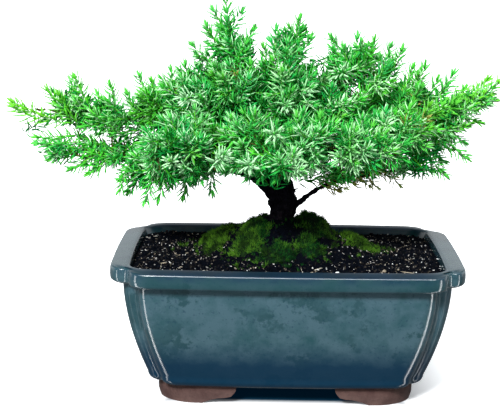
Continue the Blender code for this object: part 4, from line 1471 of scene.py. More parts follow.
@dataclass
class Wood:
    """The trunk with its surface roots, the limbs, and the twigs that carry the shoots."""

    root_turns: tuple[int, ...] = (29, 118, 148, 238, 256, 274, 292, 312)
    swell: float = 1.14
    root_reach: float = 0.027
    root_radius: float = 0.0042
    root_top: float = -0.0041
    root_end: float = -0.0205
    root_profile: tuple[tuple[float, float, float], ...] = (
        (0.00, 0.00, 1.00),
        (0.45, 0.22, 0.85),
        (0.75, 0.55, 0.65),
        (1.00, 1.00, 0.35),
    )
    # each snag: its place along the trunk's route, its direction in degrees, and its length
    snags: tuple[tuple[int, float, float], ...] = (
        (14, 200, 0.005),
        (20, 335, 0.006),
        (27, 150, 0.006),
        (33, 20, 0.007),
        (31, 250, 0.005),
    )
    snag_radii: tuple[float, float, float] = (0.0015, 0.0011, 0.0007)
    trunk_relief: float = 0.0016
    limb_relief: float = 0.0008
    voxel: float = 0.00042
    datum: Datum = field(default_factory=Datum.of_pot)
    routes: dict[str, Array] = field(default_factory=dict)
    twigs: dict[str, list[Array]] = field(default_factory=dict)

    def __post_init__(self) -> None:
        """Lays out the routes of the trunk and the limbs in the row frame."""
        for name, stations in {"trunk": TRUNK, **LIMBS}.items():
            route = smooth_route(stations, 8)
            route[:, :3] = self.datum.from_heap(route[:, :3])
            self.routes[name] = route
            self.twigs[name] = []

    def tube(self, name: str, route: Array, around: int, rough: float = 0.0) -> Piece:
        """A tapering round stem along a route.

        Args:
            name: Its name.
            route: (x, y, z, radius) rows.
            around: Points in each ring.
            rough: How much its radius varies, as a share.

        Returns:
            The stem.
        """
        centre, radius = route[:, :3], route[:, 3]
        along = unit(np.gradient(centre, axis=0))
        side = unit(np.cross(along[0], [0.31, 0.95, 0.11]))
        rows = []
        for k, direction in enumerate(along):
            side = unit(side - direction * (side @ direction))
            other = np.cross(direction, side)
            turns = np.linspace(0, 2 * math.pi, around, endpoint=False)
            ring = np.outer(np.cos(turns), side) + np.outer(np.sin(turns), other)
            size = np.full(around, radius[k])
            if rough:
                for j, spoke in enumerate(ring):
                    spot = Vector(centre[k]) * 260.0 + Vector(spoke) * 1.6
                    size[j] *= 1 + rough * noise.fractal(spot, 0.9, 2.0, 3)
            rows.append(centre[k] + ring * size[:, None])
        return Bench.wrap(name, np.array(rows))

    def root(self, turn: float) -> Array:
        """A surface root's route, in a direction given in degrees."""
        out = heading(turn)[:2]
        stations = []
        for share, drop, width in self.root_profile:
            x, y = np.array(TRUNK[0][:2]) + out * self.root_reach * share
            z = self.root_top + (self.root_end - self.root_top) * drop
            stations.append((x, y, z, self.root_radius * width))
        route = smooth_route(stations, 6)
        route[:, :3] = self.datum.from_heap(route[:, :3])
        return route

    def bark_relief(self, obj: Piece, depth: float) -> None:
        """Breaks a stem's surface into ridges, plates and flakes.

        Args:
            obj: The stem.
            depth: How deep they are.
        """
        normals = np.array([v.normal[:] for v in obj.data.vertices])
        points = Bench.points(obj)
        moves = np.empty(len(points))
        for k, p in enumerate(points):
            spot = Vector(p)
            ridge = noise.fractal(Vector((spot.x * 520, spot.y * 520, spot.z * 170)), 0.8, 2.1, 4)
            plate = noise.cell(spot * 330.0) - 0.5
            knob = max(noise.noise(spot * 120.0) - 0.25, 0.0)
            moves[k] = ridge * 0.7 + plate * 0.35 + knob * 1.8
        Bench.place(obj, points + normals * (moves * depth)[:, None])

    def build_trunk(self, finish: Finish) -> None:
        """Builds the trunk and its roots as one grown shape."""
        trunk = self.tube("trunk_and_roots", self.routes["trunk"] * (1, 1, 1, self.swell), 26, 0.20)
        roots = [self.tube(f"root_{turn}", self.root(turn), 16, 0.2) for turn in self.root_turns]
        stubs = [self.tube(f"stub_{k}", route, 10, 0.2) for k, route in enumerate(self.stubs())]
        Bench.join(trunk, *roots, *stubs)
        Bench.apply(trunk, "REMESH", mode="VOXEL", voxel_size=self.voxel)
        self.bark_relief(trunk, self.trunk_relief)
        Bench.dress(trunk, finish, Slot.BARK, ["trunk"], 70)

    def stubs(self) -> list[Array]:
        """Short snags left where old twigs broke off the trunk."""
        trunk = self.routes["trunk"]
        found = []
        for place, turn, length in self.snags:
            radius = trunk[place, 3]
            out = heading(turn, 0.35)
            ends = [trunk[place, :3] + out * (radius * 0.5 + length * share) for share in (0, 0.5, 1)]
            found.append(np.column_stack([ends, self.snag_radii]))
        return found

    def build_limbs(self, finish: Finish) -> None:
        """Builds each limb with the twigs that it carries."""
        for name in LIMBS:
            route = self.routes[name].copy()
            route[:, 3] *= np.interp(np.linspace(0, 1, len(route)), (0, 0.5, 1), (1.0, 0.85, 0.25))
            limb = self.tube(f"{name}_wood", route, 12, 0.18)
            Bench.apply(limb, "SUBSURF", levels=1, render_levels=1)
            self.bark_relief(limb, self.limb_relief)
            self.add_twigs(limb, name)
            Bench.dress(limb, finish, Slot.BARK, [name], 60)
        extra = self.twigs["trunk"]
        if extra:
            twig = self.twig_mesh("leader_twigs", extra)
            Bench.dress(twig, finish, Slot.BARK, angle=60)

    def add_twigs(self, limb: Piece, name: str) -> None:
        """Joins a limb's twigs to it, marked as young wood."""
        corners = np.array([limb.data.vertices[loop.vertex_index].co for loop in limb.data.loops])
        inner, outer = (np.linalg.norm(corners - self.routes[name][k, :3], axis=1) for k in (0, -1))
        youth = np.clip((inner / (inner + outer) - 0.60) / 0.30, 0, 1)
        write_colours(limb, "youth", np.repeat(youth[:, None], 3, axis=1))
        if self.twigs[name]:
            Bench.join(limb, self.twig_mesh(f"{name}_twigs", self.twigs[name]))

    @staticmethod
    def twig_mesh(name: str, routes: list[Array]) -> Piece:
        """Thin four-sided stems along short routes, each closed at both ends.

        Args:
            name: The piece's name.
            routes: Each stem's (x, y, z, radius) rows.

        Returns:
            The stems as one piece.
        """
        points, faces, used = [], [], 0
        for route in routes:
            centre, radius = route[:, :3], route[:, 3]
            along = unit(np.gradient(centre, axis=0))
            side = unit(np.cross(along, [0.2, 0.1, 0.97]))
            other = np.cross(along, side)
            spokes = [side, other, -side, -other]
            points.append(np.stack([centre + s * radius[:, None] for s in spokes], axis=1).reshape(-1, 3))
            rings = len(route)
            for k in range(rings - 1):
                for j in range(4):
                    a, b = used + 4 * k + j, used + 4 * k + (j + 1) % 4
                    faces += [(a, b, b + 4), (a, b + 4, a + 4)]
            last = used + 4 * (rings - 1)
            faces += [(used, used + 2, used + 1), (used, used + 3, used + 2)]
            faces += [(last, last + 1, last + 2), (last, last + 2, last + 3)]
            used += 4 * rings
        obj = triangle_mesh(name, np.concatenate(points), np.array(faces))
        fill_colour(obj, "youth", (1.0, 1.0, 1.0))
        return obj

    def nearest(self, point: Array) -> tuple[str, int]:
        """Finds the best start for a twig to a point.

        Args:
            point: The point.

        Returns:
            The stem's name and the place along it.
        """
        best = ("trunk", 0, 1e9)
        for name, route in self.routes.items():
            reach = np.linalg.norm(route[:, :3] - point, axis=1) + 0.6 * np.maximum(route[:, 2] - point[2], 0)
            k = int(reach.argmin())
            if name == "trunk":
                reach = reach + 0.004
            if reach[k] < best[2]:
                best = (name, k, reach[k])
        return best[0], best[1]


# ------------------------------------------------------------------------------------------ foliage
# leading shoots round the crown: the tip and the start from the heap's top, and how fresh the shoot is
LEADERS: tuple[tuple[Point, Point, float], ...] = (
    ((-0.0377, 0.004, 0.1281), (-0.0369, 0.004, 0.1027), 0.25),
    ((-0.0487, 0.000, 0.1135), (-0.0416, 0.003, 0.0992), 0.2),
    ((-0.0568, -0.004, 0.1025), (-0.0463, 0.002, 0.0897), 0.2),
    ((-0.0447, 0.002, 0.1223), (-0.0387, 0.003, 0.1111), 0.2),
    ((-0.0299, 0.003, 0.1218), (-0.0358, 0.004, 0.1099), 0.15),
    ((-0.0227, 0.002, 0.1114), (-0.0309, 0.003, 0.0958), 0.15),
    ((-0.0266, -0.006, 0.1037), (-0.0331, -0.000, 0.0877), 0.2),
    ((-0.0085, 0.004, 0.1114), (-0.0087, 0.007, 0.0921), 0.15),
    ((0.0052, 0.008, 0.1172), (0.0014, 0.008, 0.0934), 0.15),
    ((0.0113, 0.006, 0.1068), (0.0044, 0.007, 0.0911), 0.15),
    ((-0.0014, -0.006, 0.1052), (-0.0034, 0.000, 0.0881), 0.15),
    ((-0.0154, 0.000, 0.1010), (-0.0128, 0.004, 0.0840), 0.15),
    ((0.0258, 0.010, 0.1067), (0.0377, 0.012, 0.0899), 0.15),
    ((0.0407, 0.010, 0.1069), (0.0431, 0.012, 0.0875), 0.15),
    ((0.0502, 0.008, 0.1053), (0.0485, 0.010, 0.0866), 0.15),
    ((0.0598, 0.008, 0.1019), (0.0557, 0.010, 0.0843), 0.15),
    ((0.0659, 0.002, 0.1007), (0.0603, 0.006, 0.0823), 0.1),
    ((0.0320, 0.000, 0.1016), (0.0375, 0.006, 0.0844), 0.1),
    ((0.0728, 0.002, 0.0901), (0.0680, 0.002, 0.0733), 0.1),
    ((0.0801, 0.004, 0.0906), (0.0757, 0.002, 0.0734), 0.1),
    ((0.0864, -0.006, 0.0839), (0.0802, -0.002, 0.0691), 0.1),
    ((0.0967, 0.002, 0.0868), (0.0876, 0.000, 0.0696), 0.1),
    ((0.1230, -0.002, 0.0828), (0.1075, -0.002, 0.0695), 0.75),
    ((0.1173, 0.004, 0.0833), (0.1058, 0.002, 0.0678), 0.6),
    ((0.1124, -0.008, 0.0756), (0.1004, -0.004, 0.0625), 0.7),
    ((0.1036, 0.002, 0.0774), (0.0974, 0.000, 0.0619), 0.3),
    ((0.1035, -0.014, 0.0412), (0.0879, -0.008, 0.0509), 0.2),
    ((0.0910, -0.018, 0.0315), (0.0780, -0.010, 0.0415), 0.2),
    ((0.1027, -0.004, 0.0493), (0.0877, -0.002, 0.0585), 0.2),
    ((0.1115, -0.002, 0.0606), (0.0946, -0.002, 0.0651), 0.3),
    ((0.0917, 0.000, 0.0365), (0.0759, 0.000, 0.0447), 0.1),
    ((-0.1625, -0.008, 0.0684), (-0.1408, -0.008, 0.0549), 0.85),
    ((-0.1426, -0.006, 0.0750), (-0.1324, -0.008, 0.0592), 0.5),
    ((-0.1265, -0.006, 0.0823), (-0.1183, -0.006, 0.0622), 0.3),
    ((-0.1352, -0.012, 0.0728), (-0.1277, -0.008, 0.0563), 0.5),
    ((-0.1140, -0.002, 0.0719), (-0.1079, -0.004, 0.0561), 0.2),
    ((-0.1064, 0.000, 0.0772), (-0.1015, -0.002, 0.0583), 0.2),
    ((-0.0891, 0.000, 0.0834), (-0.0837, 0.000, 0.0655), 0.2),
    ((-0.0814, -0.006, 0.0805), (-0.0792, -0.004, 0.0636), 0.2),
    ((-0.0701, 0.002, 0.0858), (-0.0677, 0.002, 0.0679), 0.2),
    ((-0.0618, 0.002, 0.0901), (-0.0569, 0.002, 0.0716), 0.2),
    ((-0.0955, -0.008, 0.0734), (-0.0900, -0.004, 0.0563), 0.25),
    ((-0.1478, -0.010, 0.0443), (-0.1219, -0.008, 0.0408), 0.3),
    ((-0.1401, -0.006, 0.0354), (-0.1171, -0.008, 0.0396), 0.2),
    ((-0.1274, -0.012, 0.0305), (-0.1099, -0.008, 0.0373), 0.15),
    ((-0.1486, -0.004, 0.0471), (-0.1268, -0.006, 0.0452), 0.3),
    ((-0.1165, -0.014, 0.0286), (-0.1016, -0.008, 0.0362), 0.15),
    ((-0.0989, -0.018, 0.0205), (-0.0929, -0.012, 0.0334), 0.1),
    ((-0.0836, -0.024, 0.0146), (-0.0782, -0.018, 0.0298), 0.1),
    ((-0.0756, -0.020, 0.0158), (-0.0712, -0.016, 0.0295), 0.1),
    ((-0.0611, -0.026, 0.0183), (-0.0580, -0.020, 0.0328), 0.1),
    ((-0.0937, -0.010, 0.0179), (-0.0849, -0.008, 0.0292), 0.1),
    ((-0.0444, -0.034, 0.0229), (-0.0454, -0.026, 0.0351), 0.1),
)
# tips of the shoots that point at the front, from the heap's top
FRONT_TIPS: tuple[Point, ...] = (
    (-0.0092, -0.074, 0.0612),
    (-0.0365, -0.074, 0.0492),
    (0.0026, -0.070, 0.0480),
    (0.0560, -0.040, 0.0619),
    (0.0452, -0.045, 0.0481),
    (0.0645, -0.030, 0.0373),
    (-0.0479, -0.055, 0.0659),
    (-0.0221, -0.078, 0.0444),
)
# the crown's outline from the front: a place across, then the lowest and highest of each stretch of shoots
OUTLINE: tuple[tuple[float, tuple[Pair, ...]], ...] = (
    (-0.1615, ((0.0584, 0.0680),)),
    (-0.1573, ((0.0567, 0.0669),)),
    (-0.1532, ((0.0519, 0.0640),)),
    (-0.1493, ((0.0519, 0.0610), (0.0380, 0.0435),)),
    (-0.1451, ((0.0532, 0.0611), (0.0356, 0.0447),)),
    (-0.1409, ((0.0641, 0.0743), (0.0490, 0.0551), (0.0332, 0.0424),)),
    (-0.1366, ((0.0521, 0.0714), (0.0308, 0.0448),)),
    (-0.1325, ((0.0732, 0.0774), (0.0497, 0.0690), (0.0315, 0.0406),)),
    (-0.1282, ((0.0492, 0.0817), (0.0310, 0.0450),)),
    (-0.1242, ((0.0341, 0.0781), (0.0280, 0.0304),)),
    (-0.1196, ((0.0286, 0.0722),)),
    (-0.1154, ((0.0263, 0.0711),)),
    (-0.1112, ((0.0257, 0.0711),)),
    (-0.1070, ((0.0282, 0.0772),)),
    (-0.1028, ((0.0240, 0.0736),)),
    (-0.0987, ((0.0179, 0.0647),)),
    (-0.0945, ((0.0168, 0.0719),)),
    (-0.0902, ((0.0180, 0.0828),)),
    (-0.0861, ((0.0132, 0.0822),)),
    (-0.0819, ((0.0096, 0.0787),)),
    (-0.0777, ((0.0145, 0.0788),)),
    (-0.0736, ((0.0140, 0.0842),)),
    (-0.0694, ((0.0134, 0.0860),)),
    (-0.0652, ((0.0166, 0.0885),)),
    (-0.0611, ((0.0172, 0.0909),)),
    (-0.0570, ((0.0148, 0.0998),)),
    (-0.0528, ((0.0161, 0.1023),)),
    (-0.0487, ((0.0186, 0.1135),)),
    (-0.0446, ((0.1159, 0.1230), (0.0236, 0.1124),)),
    (-0.0406, ((0.0255, 0.1265),)),
    (-0.0365, ((0.0249, 0.1301),)),
    (-0.0322, ((0.1179, 0.1220), (0.0238, 0.1120),)),
    (-0.0280, ((0.0238, 0.1108),)),
    (-0.0239, ((0.0227, 0.1109),)),
    (-0.0196, ((0.0227, 0.1003),)),
    (-0.0155, ((0.0228, 0.1063),)),
    (-0.0114, ((0.0228, 0.1099),)),
    (-0.0073, ((0.0229, 0.1129),)),
    (-0.0032, ((0.0230, 0.1123),)),
    (0.0009, ((0.0230, 0.1165),)),
    (0.0050, ((0.0231, 0.1177),)),
    (0.0095, ((0.1084, 0.1119), (0.0213, 0.0966),)),
    (0.0137, ((0.0250, 0.0960),)),
    (0.0179, ((0.0214, 0.0943),)),
    (0.0220, ((0.0215, 0.0949),)),
    (0.0259, ((0.0203, 0.1074),)),
    (0.0300, ((0.0216, 0.1075),)),
    (0.0343, ((0.0204, 0.1046),)),
    (0.0384, ((0.0205, 0.1046),)),
    (0.0424, ((0.0224, 0.1082),)),
    (0.0467, ((0.0237, 0.1047),)),
    (0.0508, ((0.0231, 0.1060),)),
    (0.0550, ((0.0262, 0.1043),)),
    (0.0592, ((0.0257, 0.1025),)),
    (0.0638, ((0.0919, 0.1020), (0.0257, 0.0878),)),
    (0.0680, ((0.0252, 0.0843),)),
    (0.0720, ((0.0271, 0.0909),)),
    (0.0761, ((0.0265, 0.0915),)),
    (0.0806, ((0.0850, 0.0886), (0.0296, 0.0809),)),
    (0.0848, ((0.0267, 0.0797),)),
    (0.0889, ((0.0285, 0.0828),)),
    (0.0929, ((0.0401, 0.0870),)),
    (0.0971, ((0.0396, 0.0852),)),
    (0.1017, ((0.0403, 0.0746),)),
    (0.1056, ((0.0524, 0.0794),)),
    (0.1098, ((0.0603, 0.0801),)),
    (0.1138, ((0.0664, 0.0837),)),
    (0.1179, ((0.0676, 0.0837),)),
    (0.1222, ((0.0737, 0.0802),)),
)


@dataclass
class Shoot:
    """One shoot with whorls of needles. Its tint, freshness, dryness and blueness run from 0 to 1."""

    tip: Array
    along: Array
    length: float
    tint: float
    fresh: float = 0.1
    dry: float = 0.0
    blue: float = 0.2
    needle: float = 0.0100

    @property
    def start(self) -> Array:
        """Where the shoot begins."""
        return self.tip - self.along * self.length


def middle_of(node: str) -> Vector:
    """The middle of a CAD node's box."""
    return sum(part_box(node), Vector()) / 2


@dataclass
class Foliage:
    """The crown: leading shoots, shoots all over the room of the CAD tufts, and older ones inside."""

    wood: Wood
    apart: float = 0.0106
    inner_apart: float = 0.0102
    whorl_gap: float = 0.0023
    clear: float = 0.0045
    width: float = 0.150
    fill_gap: float = 0.0062
    front_rise: float = 0.191
    front_distance: float = 0.8835
    front_middle: Pair = (-0.0226, 0.0064)
    column_half: float = 0.006
    leader_needle: float = 0.0096
    inner_needle: float = 0.0084
    limb_needle: float = 0.0088
    twig_needle: float = 0.0080
    dry_needle: float = 0.0072
    fork_odds: tuple[float, ...] = (0.45, 0.35, 0.15, 0.05)
    heart_place: int = 40
    crown_middle: float = -0.022
    crown_half: float = 0.14
    # the directions of a whorl's needles round their stem, in radians
    thirds: tuple[float, float, float] = (0.0, 2.0944, 4.18879)
    sag: float = 0.20
    bend: float = 0.40
    open_start: float = 66.0
    open_loss: float = 26.0
    open_spread: float = 8.0
    buds: int = 3
    bud_open: Pair = (8.0, 24.0)
    bud_size: float = 0.66
    core: Pair = (0.0009, 0.0011)
    twig_points: int = 7
    twig_radii: Pair = (0.00055, 0.00040)
    branch_radii: Pair = (0.0015, 0.0007)
    anchor_reach: float = 0.030
    rng: np.random.Generator = field(default_factory=lambda: np.random.default_rng(7))

    @property
    def heart(self) -> Array:
        """The place in the trunk that shoots grow away from."""
        return self.wood.routes["trunk"][self.heart_place, :3]

    def outward(self, place: Array) -> float:
        """How far a place is towards the crown's left or right end, as a share."""
        return abs(place[0] - self.wood.datum.x - self.crown_middle) / self.crown_half

    def needle(self) -> Stamp:
        """One awl-shaped needle along +Z at unit length, curved inwards, its flat inner face towards +Y."""
        obj = Bench.start(
            bpy.ops.mesh.primitive_cone_add,
            vertices=3,
            radius1=0.58,
            radius2=0.42,
            depth=0.40,
            location=(0, 0, 0.50),
            rotation=(0, 0, math.pi),
        )
        bpy.ops.object.transform_apply(location=True, rotation=True, scale=True)
        with Bench.editing(obj):
            for side, reach in ((-1, -0.30), (1, 0.30)):
                Bench.pick_faces(obj, lambda f, side=side: f.normal.z * side > 0.9)
                bpy.ops.mesh.extrude_region_move(TRANSFORM_OT_translate={"value": (0, 0, reach)})
                bpy.ops.mesh.merge(type="CENTER")
            bpy.ops.mesh.select_all(action="SELECT")
            bpy.ops.transform.resize(value=(1.0, 0.55, 1.0), center_override=(0, 0, 0))
            bpy.ops.mesh.normals_make_consistent(inside=False)
        return Stamp.from_object(obj, (0, 1, 0), bend=0.8)

    def skin(self, taken: dict[tuple, list]) -> Iterator[tuple[Array, Array, str]]:
        """Places all over the crown's outside where shoots end.

        Args:
            taken: Tips already placed, by cell.

        Yields:
            A place, the crown's normal there, and the tuft that it is on.
        """
        tufts = sorted(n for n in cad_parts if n.startswith("foliage_"))
        meshes = {n: Bench.triangles(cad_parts[n]) for n in tufts}
        everything = np.concatenate(list(meshes.values()))
        faces = [(3 * k, 3 * k + 1, 3 * k + 2) for k in range(len(everything))]
        tree = BVHTree.FromPolygons([Vector(c) for c in everything.reshape(-1, 3)], faces)
        for name in tufts:
            at, normal = scattered(meshes[name], 1200, self.rng)
            clear = [
                k
                for k in range(len(at))
                if tree.ray_cast(Vector(at[k] + normal[k] * 0.0002), Vector(normal[k]), self.clear)[0] is None
            ]
            for k in thinned(at[clear], self.apart, taken):
                yield at[clear[k]], normal[clear[k]], name

    def seen(self, points: Array) -> Array:
        """Where points lie, across and up, when the crown is seen from the front and a little above."""
        local = points - (self.wood.datum.x, self.wood.datum.y, self.wood.datum.heap)
        near = (self.front_distance / (self.front_distance + local[:, 1]))[:, None]
        flat = (local[:, [0, 2]] - self.front_middle) * near + self.front_middle
        return flat + np.outer(local[:, 1], (0, self.front_rise))

    def inside(self, points: Array, margin: float = 0.0) -> bool:
        """Tells whether points lie within the crown's outline.

        Args:
            points: The points, or one point.
            margin: How far they keep above a stretch's lower end, and half as far below its upper one.

        Returns:
            Whether all of them do.
        """
        across = np.array([column[0] for column in OUTLINE])
        for x, z in self.seen(np.atleast_2d(points)):
            k = int(abs(across - x).argmin())
            if abs(across[k] - x) > self.column_half:
                return False
            room = [(low, high, min(margin, 0.25 * (high - low))) for low, high in OUTLINE[k][1]]
            if not any(low + edge <= z <= high - edge * 0.5 for low, high, edge in room):
                return False
        return True

    def direction(self, place: Array, normal: Array) -> Array:
        """Which way a shoot grows at a place on the crown: along its branch, outwards and up."""
        out = unit((place - self.heart) * (1, 1, 0.25))
        lift = 0.55 if normal[2] > -0.25 else 0.10
        level = normal * (1, 1, 1 if normal[2] > 0 else 0.35)
        return unit(level * 0.60 + out * 0.62 + UP * lift + self.rng.normal(0, 0.20, 3))

    def hue(self, place: Array) -> dict[str, float]:
        """Freshness and blueness at a place: fresher towards the crown's ends, bluer towards its middle."""
        across = self.outward(place)
        fresh = self.rng.normal(0.10 + 0.42 * across**4, 0.10)
        blue = self.rng.normal(0.45 - 0.30 * across, 0.22)
        return {"fresh": float(np.clip(fresh, 0, 1)), "blue": float(np.clip(blue, 0, 1))}

    def tint(self, middle: float, spread: float, place: Array | None = None) -> float:
        """A tint near the middle one, brighter at a place near the ends of the crown."""
        across = 0.0 if place is None else min(self.outward(place), 1.0)
        return float(np.clip(self.rng.normal(middle + 0.45 * across**3, spread), 0, 1))

    def grow(self) -> dict[str, list[Shoot]]:
        """Every shoot, by the tuft that it is on."""
        tufts = {n: middle_of(n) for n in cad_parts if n.startswith("foliage_")}
        shoots: dict[str, list[Shoot]] = {name: [] for name in sorted(tufts)}
        taken: dict[tuple, list] = {}

        def nearest(shoot: Shoot) -> str:
            """The tuft whose middle is nearest to a shoot's start."""
            return min(sorted(tufts), key=lambda n: (tufts[n] - Vector(shoot.start)).length)

        def add(shoot: Shoot, name: str = "") -> None:
            """Puts a shoot and its side shoots on a tuft, or on the nearest."""
            name = name or nearest(shoot)
            sides = self.side_shoots(shoot)
            spots = [np.array([s.tip, (s.tip + s.start) / 2, s.start]) for s in sides]
            shoots[name] += [shoot, *(s for s, spot in zip(sides, spots) if self.inside(spot, 0.002))]

        ends = [(np.array(tip), np.array(start), fresh) for tip, start, fresh in LEADERS]
        for tip in FRONT_TIPS:
            start = np.array(tip) + (0.0, 0.019, -0.005) + self.rng.normal(0, 0.005, 3)
            ends.append((np.array(tip), start, 0.12))
        for tip, start, fresh in ends:
            reach = np.linalg.norm(tip - start) + 0.004
            tip = self.wood.datum.from_heap(tip)
            blue = 0.0 if fresh > 0.3 else self.hue(tip)["blue"]
            along = unit(tip - self.wood.datum.from_heap(start))
            thinned(np.array([tip]), self.apart, taken)
            tint = self.tint(0.80, 0.10)
            add(Shoot(tip, along, reach, tint, fresh * 0.8, 0.0, blue, self.leader_needle))
        for place, normal, name in self.skin(taken):
            along = self.direction(place, normal)
            tip = place - normal * 0.0030 + along * self.rng.uniform(-0.002, 0.004)
            length = self.rng.uniform(0.017, 0.026)
            shoot = Shoot(tip, along, length, self.tint(0.70, 0.20), **self.hue(place))
            if self.inside(np.array([tip, shoot.start, (tip + shoot.start) / 2]), 0.0035):
                add(shoot, name)
        for name, middle in tufts.items():
            shoots[name] += self.inner_shoots(name, np.array(middle))
        for name, route in self.wood.routes.items():
            if name != "trunk":
                for _ in range(2):
                    for shoot in self.leafy(route[len(route) // 2 :, :3], 0.50, self.limb_needle):
                        add(shoot)
        for shoot in self.fill([s for group in shoots.values() for s in group]):
            add(shoot)
        for shoot in self.dry_shoots():
            shoots[nearest(shoot)].append(shoot)
        return shoots

    def fill(self, shoots: list[Shoot]) -> Iterator[Shoot]:
        """Shoots wherever the outline would be empty.

        Args:
            shoots: The shoots so far.

        Yields:
            The new ones.
        """
        middles = self.seen(np.array([(s.tip + s.start) / 2 for s in shoots]))
        tips = self.seen(np.array([s.tip for s in shoots]))
        known = list(np.concatenate([middles, tips]))
        for x, spans in OUTLINE:
            for low, high in spans:
                for z in np.arange(low + 0.0040, high - 0.0030, 0.0045):
                    spot = np.array([x, z])
                    if min(np.linalg.norm(np.array(known) - spot, axis=1)) < self.fill_gap:
                        continue
                    known.append(spot)
                    depth = self.rng.uniform(-0.012, 0.006)
                    tip = self.wood.datum.from_heap(np.array([x, depth, z - self.front_rise * depth]))
                    out = unit(tip - self.heart)
                    along = unit(out * (1, 0.4, 0.5) + UP * 0.45 + self.rng.normal(0, 0.2, 3))
                    yield Shoot(tip + along * 0.006, along, 0.018, self.tint(0.55, 0.2), **self.hue(tip))

    def side_shoots(self, parent: Shoot) -> list[Shoot]:
        """Shorter shoots that fork off a shoot.

        Args:
            parent: The shoot.

        Returns:
            None to three of them.
        """
        found = []
        for _ in range(self.rng.choice([0, 1, 2, 3], p=self.fork_odds)):
            side = unit(np.cross(parent.along, self.rng.normal(size=3)))
            along = unit(parent.along * 0.75 + side * 0.66 + UP * 0.12)
            length = parent.length * self.rng.uniform(0.42, 0.62)
            tip = parent.tip - parent.along * parent.length * self.rng.uniform(0.45, 0.80) + along * length
            tint = self.tint(parent.tint, 0.12)
            needle = parent.needle * 0.88
            found.append(Shoot(tip, along, length, tint, parent.fresh, 0.0, parent.blue, needle))
        return found

    def inner_shoots(self, name: str, middle: Array) -> list[Shoot]:
        """Older shoots inside a tuft, painted darker for their age and for the shade inside the crown, a few
        of them dry.

        Args:
            name: The tuft's node.
            middle: Its middle.

        Returns:
            The shoots.
        """
        at, _ = scattered(Bench.triangles(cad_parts[name]), 240, self.rng)
        at = middle + (at - middle) * self.rng.uniform(0.20, 0.72, (len(at), 1))
        found = []
        for place in at[thinned(at, self.inner_apart)]:
            if not self.inside(place, 0.004):
                continue
            along = unit(unit(place - middle) + UP * 0.4 + self.rng.normal(0, 0.4, 3))
            dry = 0.8 if self.rng.random() < 0.03 else 0.0
            length = self.rng.uniform(0.012, 0.018)
            tint = self.tint(0.22, 0.12, place)
            found.append(Shoot(place, along, length, tint, 0.0, dry, 0.3, self.inner_needle))
        return found

    def set_needles(self, copies: Copies, shoot: Shoot) -> None:
        """Puts a shoot's needles in place: whorls of three, closing up to a bud, on a green stem.

        Args:
            copies: The needles gathered so far.
            shoot: The shoot.
        """
        count = max(int(shoot.length / self.whorl_gap), 4)
        share = np.linspace(0, 1, count) ** 0.85
        bend = UP - shoot.along * (UP @ shoot.along)
        sag = self.sag * shoot.length * (share - 1) ** 2
        stem = shoot.tip + shoot.along * ((share - 1) * shoot.length)[:, None] + bend * sag[:, None]
        along = unit(shoot.along + bend * (self.bend * (share - 1))[:, None])
        first = unit(np.cross(shoot.along, [0.37, 0.21, 0.9]))
        second = np.cross(shoot.along, first)
        rows = np.repeat(np.arange(count), 3)
        turn = np.tile(self.thirds, count) + (rows % 2) * (self.thirds[1] / 2)
        turn = turn + self.rng.normal(0, 0.14, len(rows))
        spread = self.rng.normal(0, self.open_spread, len(rows))
        open_angle = np.radians(self.open_start - self.open_loss * share[rows] ** 2 + spread)
        size = shoot.needle * (0.84 + 0.20 * np.sin(math.pi * share[rows]) - 0.14 * share[rows] ** 3)
        rows = np.concatenate([rows, np.full(self.buds, count - 1)])
        turn = np.concatenate([turn, np.arange(self.buds) * self.thirds[1] + 0.5])
        open_angle = np.concatenate([open_angle, np.radians(self.rng.uniform(*self.bud_open, self.buds))])
        size = np.concatenate([size, np.full(self.buds, shoot.needle * self.bud_size)])
        size = size * self.rng.uniform(0.88, 1.10, len(rows))
        out = np.cos(turn)[:, None] * first + np.sin(turn)[:, None] * second
        pointing = along[rows] * np.cos(open_angle)[:, None] + out * np.sin(open_angle)[:, None]
        inner = along[rows] * np.sin(open_angle)[:, None] - out * np.cos(open_angle)[:, None]
        wide = shoot.needle * self.width * self.rng.uniform(0.85, 1.12, len(rows))
        tints = np.tile([shoot.tint, shoot.fresh, shoot.dry, shoot.blue], (len(rows), 1))
        tints[:, 0] = np.clip(tints[:, 0] + self.rng.normal(0, 0.10, len(rows)), 0, 1)
        tints[-self.buds :, 1] = np.clip(tints[-self.buds :, 1] + 0.10, 0, 1)
        copies.add(stem[rows], axes_along(pointing, inner), np.stack([wide, wide, size], axis=1), tints)
        core = np.array([[*self.core, np.linalg.norm(stem[-1] - stem[0]) * 1.1]])
        fresh = max(shoot.fresh, 0.6 * shoot.tint * (1 - shoot.dry))
        colour = np.array([[shoot.tint, fresh, shoot.dry, 0.0]])
        copies.add(stem[:1], axes_along(stem[-1:] - stem[:1], first[None]), core, colour)

    @staticmethod
    def paint(copies: Copies, tints: Array) -> dict[str, Array]:
        """How far along its needle each corner is, the shoot's tint and vigour, and 1 on the inner face."""
        along = copies.stamp.points[copies.stamp.faces][:, :, 2]
        growth = np.zeros((len(tints), *along.shape, 3))
        growth[..., 0] = along[None]
        growth[..., 1] = tints[:, 0, None, None]
        growth[..., 2] = copies.stamp.marked[None, :, None]
        vigour = np.zeros_like(growth)
        vigour[...] = tints[:, None, None, 1:4]
        return {"growth": growth, "vigour": vigour}

